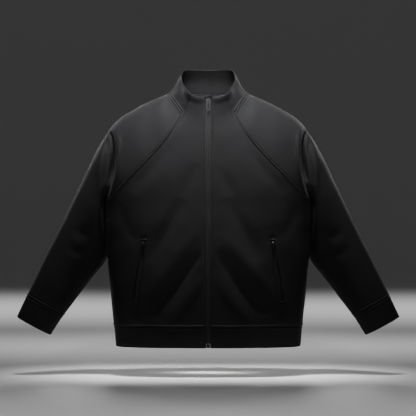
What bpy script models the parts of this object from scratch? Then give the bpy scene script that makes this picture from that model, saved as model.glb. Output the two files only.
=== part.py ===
"""A track jacket with raglan sleeves, stand-up collar and zips, as it hangs filled out on a wearer.

Metres, +Z up, front towards -Y, +X at the wearer's left. The origin is the middle of the neck, level
with the points where the shoulders meet the collar. One half is modelled and the other mirrors it.

The cloth starts as a coarse cage of all the panels joined at their seams, which subdivides into one smooth
surface. Each panel is then sampled from that surface and thickened inwards into a wall of its own.
"""

import math

import bmesh
import bpy
import numpy as np
from mathutils import Matrix, Vector

# Cloth and seams
CLOTH = 0.0020  # the body and sleeves
BAND = 0.0030  # the doubled collar, cuffs and hem band
SEAM_GAP = 0.0003
TAPE = 0.0008  # woven zip and neck tape
CLEARANCE = 0.0004  # between pieces that lie on each other

# The torso's sections, from the hem up to the armpit
TORSO_COLUMNS = ("z", "half_width", "front", "back", "side_y")
TORSO = (
    (-0.669, 0.2445, 0.104, 0.102, 0.002),
    (-0.615, 0.2490, 0.108, 0.106, 0.000),
    (-0.550, 0.2555, 0.112, 0.110, -0.003),
    (-0.480, 0.2620, 0.116, 0.113, -0.005),
    (-0.410, 0.2675, 0.119, 0.115, -0.006),
    (-0.345, 0.2705, 0.120, 0.116, -0.003),
    (-0.290, 0.2715, 0.119, 0.116, 0.006),
)
HEM_Z, HEM_SEAM_Z, ARMPIT_Z = TORSO[0][0], TORSO[1][0], TORSO[-1][0]
ZIP_EDGE_X = 0.0065  # half the gap between the two fronts
TORSO_SQUARE = 2.4  # exponent of the torso's rounded section, 2 is an ellipse
SHOULDER_SQUARE = 3.6  # the same where the shoulders square off
SQUARE_FROM, SQUARE_TO = -0.420, -0.120  # heights between which it squares off
ARCH = 2.2  # exponent of the arch from chest over the shoulder to the back
SHOULDER_BACK = 0.011  # how far behind the middle the shoulder line runs

# The shoulder line from the neck to the arm, and its run on under the collar
SHOULDER_COLUMNS = ("x", "z")
SHOULDER = (
    (0.000, 0.045),
    (0.068, 0.020),
    (0.105, 0.000),
    (0.140, -0.0155),
    (0.173, -0.0305),
    (0.210, -0.0510),
    (0.228, -0.0615),
    (0.245, -0.0760),
    (0.259, -0.0940),
    (0.274, -0.1180),
)

# The raglan seams from the armpit up to the collar, and the rows' heights at the centre front and back
RAGLAN_COLUMNS = ("front_x", "front_z", "back_x", "back_z", "centre_front_z", "centre_back_z", "shoulder_x")
RAGLAN = (
    (0.2755, -0.290, 0.2755, -0.290, -0.292, -0.290, 0.2590),
    (0.2620, -0.279, 0.2620, -0.278, -0.265, -0.255, 0.2535),
    (0.2515, -0.267, 0.2520, -0.265, -0.238, -0.220, 0.2455),
    (0.2260, -0.240, 0.2270, -0.234, -0.211, -0.183, 0.2250),
    (0.1930, -0.207, 0.1960, -0.196, -0.184, -0.147, 0.2010),
    (0.1600, -0.174, 0.1650, -0.156, -0.157, -0.110, 0.1770),
    (0.1280, -0.139, 0.1350, -0.113, -0.130, -0.074, 0.1520),
    (0.0980, -0.100, 0.1060, -0.064, -0.104, -0.038, 0.1270),
    (0.0680, -0.053, 0.0760, -0.006, -0.077, -0.001, 0.1050),
)
FOLD_DEPTH = 0.010  # the fold where the sleeve breaks at the armhole
ARMPIT_ROUND, ARMPIT_TIMES = 0.060, 24  # how far from the armpit its crease is rounded off, and how often
FOLD_CREST = 0.004  # how far the cloth beside it stands up
FOLD_INSET = 0.018  # how far it bows in from the line between armpit and shoulder
CREST_ROW, EDGE_ROW, ARMHOLE_ROW = 2, 1, 0  # rows of RAGLAN

# The arm's sections from below the armhole to the cuff's end
ARM_COLUMNS = ("outer_x", "outer_z", "inner_x", "inner_z", "centre_y", "half_depth", "tuck", "lift")
ARM = (
    (0.2785, -0.123, 0.2805, -0.326, 0.009, 0.068, 0.0095, 1.0),
    (0.3010, -0.161, 0.2775, -0.366, 0.018, 0.072, 0.0090, 0.7),
    (0.3315, -0.224, 0.2750, -0.405, 0.027, 0.074, 0.0080, 0.4),
    (0.3625, -0.289, 0.2785, -0.441, 0.033, 0.070, 0.0040, 0.2),
    (0.3945, -0.356, 0.2985, -0.477, 0.035, 0.064, 0.0, 0.0),
    (0.4245, -0.418, 0.3290, -0.515, 0.032, 0.056, 0.0, 0.0),
    (0.4535, -0.479, 0.3570, -0.553, 0.024, 0.048, 0.0, 0.0),
    (0.4815, -0.537, 0.3845, -0.589, 0.015, 0.041, 0.0, 0.0),
    (0.5070, -0.592, 0.4170, -0.640, 0.006, 0.035, 0.0, 0.0),
)
TUCK_DEPTH = 0.045  # how far behind the middle the sleeve reaches in behind the body by its tuck
LIFT = 0.26  # how far the lines beside the seam under the arm spread from it, times a section's lift
ARM_SQUARE = 2.15

# The collar: its seam to the sleeve and back, and its top edge, from the front round to the centre back
NECK_COLUMNS = ("x", "y", "z")
NECK_FRONT = ((0.0680, -0.0720, -0.0530), (0.0925, -0.0440, -0.0180), (0.1050, 0.0080, 0.0000))
NECK_BACK = ((0.1050, 0.0080, 0.0000), (0.0960, 0.0380, -0.0020), (0.0760, 0.0560, -0.0060))
COLLAR_TOP = (
    (0.0410, -0.0660, -0.0060),
    (0.0570, -0.0500, 0.0110),
    (0.0680, -0.0260, 0.0270),
    (0.0715, -0.0040, 0.0430),
    (0.0690, 0.0180, 0.0580),
    (0.0580, 0.0370, 0.0640),
    (0.0330, 0.0500, 0.0645),
    (0.0000, 0.0540, 0.0640),
)
COLLAR_FRONT_TOP = (-0.0740, -0.0110)  # y, z of its top edge beside the zip
COLLAR_BULGE = 0.0015

# Columns and rows of the cage
FRONT_COLUMNS = 5
BACK_COLUMNS = 5
SLEEVE_COLUMNS = 10
COLLAR_ROWS = 2
ARMPIT_ROW = len(TORSO) - 1
NECK_ROW = ARMPIT_ROW + len(RAGLAN) - 1
ARMHOLE_SECTION = len(RAGLAN) - 1
CUFF_SECTION = ARMHOLE_SECTION + len(ARM) - 1
LEVELS = 3  # subdivisions of the cage
STEPS = 2**LEVELS

# Pockets: a zip in a slot of each front, leaning outwards as it goes down
POCKET_TOP = (0.1675, -0.388)  # x, z
POCKET_BOTTOM = (0.1915, -0.546)
POCKET_COLUMN = 2  # the cage column that runs along the slot
SLOT_WIDTH = 0.0125
POCKET_TAPE_HALF_WIDTH = 0.011
POCKET_TAPE_SPARE = 0.007  # tape past each end of the slot

# Zips
TAPE_GAP = 0.0008  # between the cloth and the tape behind it
TAPE_DEPTH = CLOTH + TAPE_GAP  # from the fronts' outer face back to the tape's
HEM_TAPE_DEPTH = BAND + 0.0006
TAPE_OUTER_X = 0.0165
TAPE_INNER_X = 0.0003
CHAIN_HALF_WIDTH = 0.0027
CHAIN_THICK = 0.0014
ZIP_TOP_Z = -0.0140
SLIDER_Z = -0.0230  # height of the bar that the main pull hangs by
BOX_TOP_Z = -0.6580
BOX_SIZE = (0.0095, 0.0100, 0.0044)  # width, height and depth of the box that ends the zip at the hem
POCKET_SLIDER_Z = -0.3985

# A slider's front plate from its bar down, as distances below the bar and half widths, and the strap's arch
SLIDER_OUTLINE = ((-0.0072, 0.0034), (-0.0060, 0.0050), (-0.0020, 0.0052), (0.0030, 0.0040), (0.0066, 0.0036))
PLATE_THICK = 0.0018
STRAP_WIDTH = 0.0020
STRAP_FEET = 0.0062  # from the bar to the strap's outer ends
STRAP_THICK = 0.0010
POST_HALF_WIDTH = 0.0009
POST_FROM, POST_TO = 0.0022, 0.0064  # above the bar
PULL_THICK = 0.0013
BAR_HALF = 0.0007  # half the pull's bar
BAR_ABOVE_TAPE = CLEARANCE + PLATE_THICK + CLEARANCE + PULL_THICK / 2

# Pulls, as distances below the bar and half widths, with their windows as (from, to, half width)
MAIN_PULL = (
    (-0.0007, 0.0030),
    (0.0002, 0.0041),
    (0.0030, 0.0046),
    (0.0262, 0.0046),
    (0.0282, 0.0040),
    (0.0296, 0.0025),
    (0.0300, 0.0008),
)
MAIN_PULL_WINDOWS = ((BAR_HALF, 0.0074, 0.0018), (0.0106, 0.0256, 0.0020))
POCKET_PULL = (
    (-0.0007, 0.0024),
    (0.0006, 0.0038),
    (0.0070, 0.0040),
    (0.0096, 0.0020),
    (0.0118, 0.0014),
    (0.0134, 0.0020),
    (0.0150, 0.0014),
    (0.0222, 0.0014),
    (0.0240, 0.0022),
    (0.0290, 0.0026),
    (0.0345, 0.0018),
    (0.0380, 0.0005),
)
POCKET_PULL_WINDOWS = ((BAR_HALF, 0.0076, 0.0023),)

CUTTERS = "cutters"  # the collection of shapes that only cut or join others

BLACK_CLOTH = (0.020, 0.020, 0.022, 1.0)
BLACK_TAPE = (0.014, 0.014, 0.015, 1.0)
GUNMETAL = (0.30, 0.30, 0.31, 1.0)
BLACK_METAL = (0.05, 0.05, 0.055, 1.0)


# ---------------------------------------------------------------------------------------------------------
# Reading the tables


def column(table, names, name):
    return np.array([row[names.index(name)] for row in table])


def interpolated(table, names, key, name, at):
    """The table's value at a place between its rows."""
    keys, values = column(table, names, key), column(table, names, name)
    order = np.argsort(keys)
    return float(np.interp(at, keys[order], values[order]))


def cubic(points, places):
    """Points of the smooth curve through the given ones. Places count from 0 at the first, 1 at the next."""
    points = np.asarray(points, float)
    padded = np.concatenate([[2 * points[0] - points[1]], points, [2 * points[-1] - points[-2]]])
    places = np.clip(np.asarray(places, float), 0, len(points) - 1)
    first = np.minimum(places.astype(int), len(points) - 2)
    t = (places - first).reshape((-1,) + (1,) * (points.ndim - 1))
    a, b, c, d = (padded[first + k] for k in range(4))
    return 0.5 * (2 * b + (c - a) * t + (2 * a - 5 * b + 4 * c - d) * t**2 + (3 * b - a - 3 * c + d) * t**3)


def even_places(points, count):
    """Places on the curve through the points that cut it into count equal lengths."""
    fine = np.linspace(0, len(points) - 1, 40 * len(points))
    curve = cubic(points, fine)
    run = np.concatenate([[0], np.cumsum(np.linalg.norm(np.diff(curve, axis=0), axis=1))])
    return np.interp(np.linspace(0, run[-1], count + 1), run, fine)


# ---------------------------------------------------------------------------------------------------------
# The form that the cloth follows


def torso_depth(x, z, side):
    """The torso's depth at x from its middle line, before the shoulders' arch. side is -1 at the front
    and 1 at the back."""
    level = min(z, ARMPIT_Z)
    half = interpolated(TORSO, TORSO_COLUMNS, "z", "half_width", level)
    face = "front" if side < 0 else "back"
    depth = interpolated(TORSO, TORSO_COLUMNS, "z", face, level) - side * middle_y(z)
    squared = min(max((z - SQUARE_FROM) / (SQUARE_TO - SQUARE_FROM), 0), 1)
    power = TORSO_SQUARE + squared**2 * (3 - 2 * squared) * (SHOULDER_SQUARE - TORSO_SQUARE)
    share = min(abs(x) / half, 1)
    return depth * (1 - share**power) ** (1 / power)


def middle_y(z):
    """Where the side seam runs below the armpit, and the shoulder line above it."""
    if z <= ARMPIT_Z:
        return interpolated(TORSO, TORSO_COLUMNS, "z", "side_y", z)
    rise = min((z - ARMPIT_Z) / -ARMPIT_Z, 1)
    return TORSO[-1][4] + rise * (SHOULDER_BACK - TORSO[-1][4])


def shoulder_z(x):
    return interpolated(SHOULDER, SHOULDER_COLUMNS, "x", "z", x)


def torso_point(x, z, side):
    depth = torso_depth(x, z, side)
    if z > ARMPIT_Z:
        rise = min((z - ARMPIT_Z) / (shoulder_z(x) - ARMPIT_Z), 1)
        depth *= (1 - rise**ARCH) ** (1 / ARCH)
    return np.array([x, middle_y(z) + side * depth, z])


def arch_point(x, turn, side, depth_change=0.0):
    """A point of the arch over the shoulder. turn is 0 at the armpit's height and 90 degrees on top."""
    z = ARMPIT_Z + math.sin(turn) ** (2 / ARCH) * (shoulder_z(x) - ARMPIT_Z)
    depth = torso_depth(x, z, side) * math.cos(turn) ** (2 / ARCH) + depth_change
    return np.array([x, middle_y(z) + side * depth, z])


# ---------------------------------------------------------------------------------------------------------
# The cage: grids of points, one for each panel of the half


def torso_columns(count):
    """Shares of the half width that space the columns evenly round the torso's section."""
    turns = np.linspace(0, math.pi / 2, count + 1)
    return np.sin(turns) ** (2 / TORSO_SQUARE)


def lower_row(row, side, count, first_x):
    """A row of the torso below the armpit, from the centre to the side seam."""
    z, half, front, back, side_y = TORSO[row]
    turns = np.linspace(0, math.pi / 2, count + 1)
    x = first_x + (half - first_x) * np.sin(turns) ** (2 / TORSO_SQUARE)
    if side < 0:
        shift_to_pocket(x, z)
    points = [torso_point(value, z, side) for value in x[:-1]]
    return np.array(points + [np.array([half, side_y, z])])


def shift_to_pocket(x, z):
    """Moves a row's columns so that one of them runs along the pocket, less and less above and below it."""
    (top_x, top_z), (bottom_x, bottom_z) = POCKET_TOP, POCKET_BOTTOM
    line_x = bottom_x + (z - bottom_z) / (top_z - bottom_z) * (top_x - bottom_x)
    past = max(bottom_z - 0.01 - z, z - top_z - 0.02, 0)
    shift = (line_x - x[POCKET_COLUMN]) * max(1 - past / 0.15, 0)
    x[POCKET_COLUMN] += shift
    x[POCKET_COLUMN + 1] += 0.45 * shift
    x[POCKET_COLUMN - 1] += 0.3 * shift


def upper_row(row, side, count, first_x):
    """A row between the centre and the raglan seam."""
    front_x, front_z, back_x, back_z, centre_front_z, centre_back_z, _ = RAGLAN[row]
    end_x, end_z, centre_z = front_x, front_z, centre_front_z
    if side > 0:
        end_x, end_z, centre_z = back_x, back_z, centre_back_z
    even = np.linspace(0, 1, count + 1)
    risen = row / (len(RAGLAN) - 1)
    share = torso_columns(count) * (1 - risen) + even * risen
    x = first_x + (end_x - first_x) * share
    if side < 0:
        shift_to_pocket(x, end_z)
    z = centre_z + (end_z - centre_z) * share**1.6
    points = np.array([torso_point(a, b, side) for a, b in zip(x, z)])
    if row == ARMHOLE_ROW:
        points[-1] = armpit()
    return points


def armpit():
    return np.array([RAGLAN[ARMHOLE_ROW][0], TORSO[-1][4], ARMPIT_Z])


def extension_rows():
    """The fronts' rows above the raglan seams' ends, which run on into the collar."""
    below = upper_row(len(RAGLAN) - 1, -1, FRONT_COLUMNS, ZIP_EDGE_X)
    below[-1] = NECK_FRONT[0]
    share = np.linspace(0, 1, FRONT_COLUMNS + 1)
    top_x = ZIP_EDGE_X + (COLLAR_TOP[0][0] - ZIP_EDGE_X) * share
    bow = share**2
    top_y = COLLAR_FRONT_TOP[0] + (COLLAR_TOP[0][1] - COLLAR_FRONT_TOP[0]) * bow
    top_z = COLLAR_FRONT_TOP[1] + (COLLAR_TOP[0][2] - COLLAR_FRONT_TOP[1]) * bow
    top = np.stack([top_x, top_y, top_z], axis=1)
    middle = (below + top) / 2
    middle[:, 1] -= COLLAR_BULGE
    return [below, middle, top]


def front_cage():
    rows = [lower_row(k, -1, FRONT_COLUMNS, ZIP_EDGE_X) for k in range(ARMPIT_ROW)]
    rows += [upper_row(k, -1, FRONT_COLUMNS, ZIP_EDGE_X) for k in range(len(RAGLAN) - 1)]
    return np.array(rows + extension_rows())


def back_cage():
    rows = [lower_row(k, 1, BACK_COLUMNS, 0.0) for k in range(ARMPIT_ROW)]
    rows += [upper_row(k, 1, BACK_COLUMNS, 0.0) for k in range(len(RAGLAN))]
    rows[-1][-1] = NECK_BACK[-1]
    return np.array(rows)


def neck_row():
    """The sleeve's end at the collar, from the front raglan seam over the shoulder to the back one."""
    half = SLEEVE_COLUMNS // 2
    front = cubic(NECK_FRONT, even_places(NECK_FRONT, half))
    back = cubic(NECK_BACK, even_places(NECK_BACK, half))
    return np.concatenate([front, back[1:]])


def cap_row(row):
    """A section of the sleeve above the armhole, from one raglan seam over the shoulder to the other."""
    front_x, front_z, back_x, back_z, _, _, top_x = RAGLAN[row]
    half = SLEEVE_COLUMNS // 2
    shares = np.linspace(0, 1, half + 1)
    points = []
    for side, start_x, start_z in ((-1, front_x, front_z), (1, back_x, back_z)):
        rise = (start_z - ARMPIT_Z) / (shoulder_z(start_x) - ARMPIT_Z)
        start = math.asin(max(rise, 0) ** (ARCH / 2))
        run = []
        for share in shares:
            eased = 0.25 * share + 0.75 * share**2
            turn = start + (math.pi / 2 - start) * eased
            bow = math.sin(math.pi * share)
            x = start_x + (top_x - start_x) * share
            change = 0.0
            if row <= CREST_ROW:
                x -= FOLD_INSET * bow**1.5
                change = FOLD_CREST * bow
            if row == ARMHOLE_ROW:
                change = -FOLD_DEPTH * bow
            run.append(arch_point(x, turn, side, change))
        points.append(run)
    points[0][0] = torso_point(front_x, front_z, -1)
    points[1][0] = torso_point(back_x, back_z, 1)
    if row == ARMHOLE_ROW:
        points[0][0] = points[1][0] = armpit()
    return np.array(points[0] + points[1][-2::-1])


def arm_row(row):
    """A closed section of the arm, from the seam under it round by the front."""
    outer_x, outer_z, inner_x, inner_z, centre_y, half_depth, tuck, lift = ARM[row]
    centre = np.array([(outer_x + inner_x) / 2, centre_y, (outer_z + inner_z) / 2])
    reach = np.array([(outer_x - inner_x) / 2, 0, (outer_z - inner_z) / 2])
    points = []
    for turn in np.linspace(0, 2 * math.pi, SLEEVE_COLUMNS + 1):
        turn += LIFT * lift * (math.sin(turn) + 0.5 * math.sin(2 * turn))
        across, along = math.sin(turn), -math.cos(turn)
        across = math.copysign(abs(across) ** (2 / ARM_SQUARE), across)
        along = math.copysign(abs(along) ** (2 / ARM_SQUARE), along)
        point = centre + along * reach + np.array([0, -across * half_depth, 0])
        point[0] -= tuck * (max(point[1], 0) / TUCK_DEPTH) ** 1.5 * ((1 - along) / 2) ** 2
        points.append(point)
    points[-1] = points[0]
    return np.array(points)


def sleeve_cage():
    rows = [neck_row()] + [cap_row(row) for row in range(len(RAGLAN) - 2, -1, -1)]
    return np.array(rows + [arm_row(row) for row in range(len(ARM))])


def collar_cage():
    """Rows from the neck seam to the top edge, from the front round to the centre back."""
    neck = np.concatenate([neck_row(), back_cage()[-1][-2::-1]])
    top = cubic(COLLAR_TOP, even_places(COLLAR_TOP, len(neck) - 1))
    out = neck * np.array([1, 1, 0])
    out /= np.linalg.norm(out, axis=1)[:, None]
    middle = (neck + top) / 2 + out * COLLAR_BULGE
    middle[0] = extension_rows()[1][-1]
    return np.array([neck, middle, top])


CAGES = {"front": front_cage, "back": back_cage, "sleeve": sleeve_cage, "collar": collar_cage}
FACES_OUT = {"front": True, "back": False, "sleeve": False, "collar": True}  # with x = columns, y = rows


# ---------------------------------------------------------------------------------------------------------
# Subdividing the cage


def cage_mesh(grids):
    """One mesh of both halves, welded at the seams. A face's material says its panel, its UVs its place."""
    points, index, faces, places, panels = [], {}, [], [], []

    def vertex(point):
        key = tuple(np.round(point, 5) + 0.0)
        if key not in index:
            index[key] = len(points)
            points.append(point)
        return index[key]

    for number, (name, grid) in enumerate(grids.items()):
        for mirror in (1, -1):
            ids = [[vertex(point * np.array([mirror, 1, 1])) for point in row] for row in grid]
            for r in range(len(grid) - 1):
                for c in range(len(grid[0]) - 1):
                    corners = [(r, c), (r, c + 1), (r + 1, c + 1), (r + 1, c)]
                    if FACES_OUT[name] != (mirror > 0):
                        corners.reverse()
                    faces.append([ids[a][b] for a, b in corners])
                    places.append(corners)
                    panels.append(number if mirror > 0 else len(grids))
    mesh = bpy.data.meshes.new("cage")
    mesh.from_pydata([tuple(p) for p in points], [], faces)
    layer = mesh.uv_layers.new(name="place")
    for face, corners in zip(mesh.polygons, places):
        for loop, (r, c) in zip(face.loop_indices, corners):
            layer.data[loop].uv = (c / 64, r / 64)
    for _ in range(len(grids) + 1):
        mesh.materials.append(None)
    mesh.polygons.foreach_set("material_index", panels)
    return mesh


def subdivided(mesh, levels):
    """The mesh's limit surface: points, faces of four corners, and each face corner's place and panel."""
    helper = bpy.data.objects.new("cage", mesh)
    bpy.context.scene.collection.objects.link(helper)
    smooth = helper.modifiers.new("Subdivision", "SUBSURF")
    smooth.levels = smooth.render_levels = levels
    smooth.uv_smooth = "NONE"
    smooth.use_limit_surface = True
    smooth.boundary_smooth = "PRESERVE_CORNERS"
    smooth.quality = 3
    bpy.context.view_layer.update()
    evaluated = helper.evaluated_get(bpy.context.evaluated_depsgraph_get())
    fine = evaluated.to_mesh()
    points = np.empty(len(fine.vertices) * 3, np.float32)
    fine.vertices.foreach_get("co", points)
    corners = np.empty(len(fine.loops), np.int32)
    fine.loops.foreach_get("vertex_index", corners)
    places = np.empty(len(fine.loops) * 2, np.float32)
    fine.uv_layers["place"].data.foreach_get("uv", places)
    panels = np.empty(len(fine.polygons), np.int32)
    fine.polygons.foreach_get("material_index", panels)
    evaluated.to_mesh_clear()
    bpy.data.objects.remove(helper)
    return (
        points.reshape(-1, 3).astype(float),
        corners.reshape(-1, 4),
        places.reshape(-1, 2),
        np.repeat(panels, 4),
    )


def relaxed(points, faces, shares, times):
    """The points moved towards the middle of their neighbours, each by its share, a number of times."""
    pairs = np.concatenate([faces[:, [k, (k + 1) % 4]] for k in range(4)])
    pairs = np.unique(np.sort(pairs, axis=1), axis=0)
    count = np.bincount(pairs.ravel(), minlength=len(points))[:, None]
    for _ in range(times):
        total = np.zeros_like(points)
        np.add.at(total, pairs[:, 0], points[pairs[:, 1]])
        np.add.at(total, pairs[:, 1], points[pairs[:, 0]])
        points = points + shares[:, None] * (total / count - points)
    return points


def vertex_normals(points, faces):
    a, b, c, d = (points[faces[:, k]] for k in range(4))
    across = np.cross(c - a, d - b)
    total = np.zeros_like(points)
    for k in range(4):
        np.add.at(total, faces[:, k], across)
    return total / np.linalg.norm(total, axis=1)[:, None]


def smooth_panels():
    """Each panel's points and normals on the smooth surface, as grids STEPS times finer than the cage."""
    grids = {name: make() for name, make in CAGES.items()}
    mesh = cage_mesh(grids)
    wanted = np.array([v.co for v in mesh.vertices])
    cage = wanted.copy()
    for _ in range(6):  # moves the cage until its smooth surface passes through the wanted points
        reached = subdivided(mesh, 1)[0][: len(cage)]
        cage += wanted - reached
        mesh.vertices.foreach_set("co", cage.ravel())
        mesh.update()
    points, faces, places, panels = subdivided(mesh, LEVELS)
    armpits = (armpit() * np.array([side, 1, 1]) for side in (1, -1))
    away = np.minimum(*(np.linalg.norm(points - place, axis=1) for place in armpits))
    points = relaxed(points, faces, 0.6 * np.clip(1 - away / ARMPIT_ROUND, 0, 1), ARMPIT_TIMES)
    normals, corners = vertex_normals(points, faces), faces.ravel()
    made = {}
    for number, (name, grid) in enumerate(grids.items()):
        mine = panels == number
        c, r = np.round(places[mine] * 64 * STEPS).astype(int).T
        shape = ((len(grid) - 1) * STEPS + 1, (len(grid[0]) - 1) * STEPS + 1, 3)
        at, out = np.zeros(shape), np.zeros(shape)
        at[r, c], out[r, c] = points[corners[mine]], normals[corners[mine]]
        made[name] = (at, out)
    bpy.data.meshes.remove(mesh)
    return made


def sampled(panel, rows, columns):
    """Points and normals of a panel at rows and columns counted in the cage's. Each row may have its own."""
    found = []
    for grid in panel:
        across = cubic(grid, np.asarray(rows) * STEPS)
        if np.ndim(columns) == 1:
            taken = cubic(across.swapaxes(0, 1), np.asarray(columns) * STEPS).swapaxes(0, 1)
        else:
            taken = np.array([cubic(line, np.asarray(c) * STEPS) for line, c in zip(across, columns)])
        found.append(taken)
    points, normals = found
    return points, normals / np.linalg.norm(normals, axis=2)[:, :, None]


def mirrored(points, normals):
    """The other half's grid, with its columns turned round so that it still faces out."""
    flip = np.array([-1, 1, 1])
    return points[:, ::-1] * flip, normals[:, ::-1] * flip


# ---------------------------------------------------------------------------------------------------------
# Walls


def drawn_in(points, sides):
    """The grid with the named sides pulled back by half a seam gap, square to the seam."""
    moved = points.copy()
    ends = {
        "first_row": (0, 1, 0),
        "last_row": (-1, -2, 0),
        "first_column": (0, 1, 1),
        "last_column": (-1, -2, 1),
    }
    for side, share in sides.items():
        edge, inner, axis = ends[side]
        lines, target = (points, moved) if axis == 0 else (points.swapaxes(0, 1), moved.swapaxes(0, 1))
        along = np.gradient(lines[edge], axis=0)
        along /= np.linalg.norm(along, axis=1)[:, None]
        inwards = lines[inner] - lines[edge]
        inwards -= (inwards * along).sum(axis=1)[:, None] * along
        inwards /= np.linalg.norm(inwards, axis=1)[:, None]
        target[edge] += inwards * SEAM_GAP / 2 * np.broadcast_to(share, len(inwards))[:, None]
    return moved


def closed_mesh(outer, inner, faces_out, kept=None, joined_from=None):
    """Points and faces of a wall between two grids. kept leaves quads out, and from the row joined_from the
    last column is the first one, as on a tube."""
    rows, columns = outer.shape[:2]
    ids = np.arange(rows * columns).reshape(rows, columns)
    if joined_from is not None:
        ids[joined_from:, -1] = ids[joined_from:, 0]
    quads = []
    for r in range(rows - 1):
        for c in range(columns - 1):
            if kept is None or kept[r, c]:
                quad = [ids[r, c], ids[r, c + 1], ids[r + 1, c + 1], ids[r + 1, c]]
                quads.append(quad if faces_out else quad[::-1])
    edges = {(quad[k - 1], quad[k]) for quad in quads for k in range(4)}
    far = rows * columns
    points = np.concatenate([outer.reshape(-1, 3), inner.reshape(-1, 3)])
    faces = []
    for a, b, c, d in quads:  # both sides are cut along the same diagonal, so they stay a wall apart
        if np.linalg.norm(points[a] - points[c]) <= np.linalg.norm(points[b] - points[d]):
            halves = ([a, b, c], [a, c, d])
        else:
            halves = ([b, c, d], [b, d, a])
        faces += halves
        faces += [[k + far for k in reversed(half)] for half in halves]
    faces += [[b, a, a + far, b + far] for a, b in sorted(edges) if (b, a) not in edges]
    used = sorted({k for face in faces for k in face})
    place = {old: new for new, old in enumerate(used)}
    return points[used], [[int(place[k]) for k in face] for face in faces]


def painted(obj, colour, roughness, metallic=0.0):
    material = bpy.data.materials.new(obj.name)
    material.use_nodes = True
    shader = material.node_tree.nodes["Principled BSDF"]
    shader.inputs["Base Color"].default_value = colour
    shader.inputs["Roughness"].default_value = roughness
    shader.inputs["Metallic"].default_value = metallic
    obj.data.materials.clear()
    obj.data.materials.append(material)
    return obj


def object_from(name, points, faces, collection):
    mesh = bpy.data.meshes.new(name)
    mesh.from_pydata([tuple(map(float, p)) for p in points], [], faces)
    mesh.update()
    mesh.shade_smooth()
    mesh.set_sharp_from_angle(angle=math.radians(40))
    obj = bpy.data.objects.new(name, mesh)
    collection.objects.link(obj)
    return obj


def cloth_wall(name, grid, thick, faces_out, collection, sides, kept=None, joined_from=None):
    points, normals = grid
    outer = drawn_in(points, sides)
    inner = outer - normals * thick
    obj = object_from(name, *closed_mesh(outer, inner, faces_out, kept, joined_from), collection)
    return painted(obj, BLACK_CLOTH, 0.75)


def half_steps(first, last):
    return np.linspace(first, last, int(round((last - first) * 2)) + 1)


# The lines up from the armpit
RAGLAN_LINES = np.concatenate([[0, 0.25, 0.5, 0.75], half_steps(1, 4), [5, 6, 7, 7.5, 8]])
BACK_LINES = np.concatenate([np.arange(3), half_steps(3, BACK_COLUMNS)])  # closer together towards the side


def collar_lines(first):
    """The collar's lines from one of the sleeve's columns to the centre back, level with its neighbours'."""
    round_back = SLEEVE_COLUMNS + BACK_COLUMNS - BACK_LINES[-2::-1]
    return np.concatenate([half_steps(first, SLEEVE_COLUMNS), round_back])


# ---------------------------------------------------------------------------------------------------------
# The pieces of cloth


def slot_rows(front):
    """The rows, in the cage's count, at the top and bottom of the pocket's slot."""
    line = front[0][:, POCKET_COLUMN * STEPS, 2]
    rows = np.arange(len(line)) / STEPS
    below = rows <= ARMPIT_ROW
    return tuple(float(np.interp(z, line[below], rows[below])) for z in (POCKET_BOTTOM[1], POCKET_TOP[1]))


def front_rows(front):
    bottom, top = slot_rows(front)
    whole = [row for row in range(1, ARMPIT_ROW) if abs(row - bottom) > 0.2 and abs(row - top) > 0.2]
    collar = half_steps(NECK_ROW, NECK_ROW + COLLAR_ROWS)[1:]
    return np.concatenate([sorted(whole + [bottom, top]), ARMPIT_ROW + RAGLAN_LINES, collar])


def columns_from_slot(front, row, distance):
    """How many columns a distance beside the pocket's line comes to at a row."""
    line = cubic(front[0], [row * STEPS])[0]
    near = POCKET_COLUMN * STEPS
    return distance / (np.linalg.norm(line[near + 2] - line[near - 2]) / 4 * STEPS)


def front_grid(front):
    """The front's points and normals, with lines of them along the edges of the pocket's slot."""
    bottom, top = slot_rows(front)
    rows = front_rows(front)
    columns = []
    for row in rows:
        reach = min(columns_from_slot(front, row, SLOT_WIDTH / 2), 0.3)
        slot = [POCKET_COLUMN - reach, POCKET_COLUMN + reach]
        columns.append([0, 0.5, 1, 1.5, *slot, 2.5, 3, 3.5, 4, 4.5, 5])
    kept = np.ones((len(rows) - 1, len(columns[0]) - 1), bool)
    kept[list(rows).index(bottom) : list(rows).index(top), 4] = False
    return sampled(front, rows, columns), kept


def make_fronts(panels, collection):
    grid, kept = front_grid(panels["front"])
    sides = {"first_row": 1, "last_column": 1}
    cloth_wall("front_left", grid, CLOTH, True, collection, sides, kept)
    sides = {"first_row": 1, "first_column": 1}
    cloth_wall("front_right", mirrored(*grid), CLOTH, True, collection, sides, kept[:, ::-1])


def both_halves(points, normals):
    """A half grid from the centre back out, joined to its mirror image, from the far side to this one."""
    other = mirrored(points, normals)
    whole = np.concatenate([other[0], points[:, 1:]], axis=1)
    return whole, np.concatenate([other[1], normals[:, 1:]], axis=1)


def make_back(panels, collection):
    rows = np.concatenate([np.arange(1, ARMPIT_ROW), ARMPIT_ROW + RAGLAN_LINES])
    grid = both_halves(*sampled(panels["back"], rows, BACK_LINES))
    sides = {"first_row": 1, "last_row": 1, "first_column": 1, "last_column": 1}
    cloth_wall("back", grid, CLOTH, False, collection, sides)


def make_sleeves(panels, collection):
    arm = np.concatenate([[0.25, 0.5, 0.75, 1, 1.5], np.arange(2, len(ARM))])
    rows = np.concatenate([ARMHOLE_SECTION - RAGLAN_LINES[::-1], ARMHOLE_SECTION + arm])
    grid = sampled(panels["sleeve"], rows, half_steps(0, SLEEVE_COLUMNS))
    armhole = len(RAGLAN_LINES) - 1
    open_part = (np.arange(len(rows)) < armhole).astype(float)
    sides = {"first_row": 1, "last_row": 1, "first_column": open_part, "last_column": open_part}
    cloth_wall("sleeve_left", grid, CLOTH, False, collection, sides, joined_from=armhole)
    cloth_wall("sleeve_right", mirrored(*grid), CLOTH, False, collection, sides, joined_from=armhole)


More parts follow.
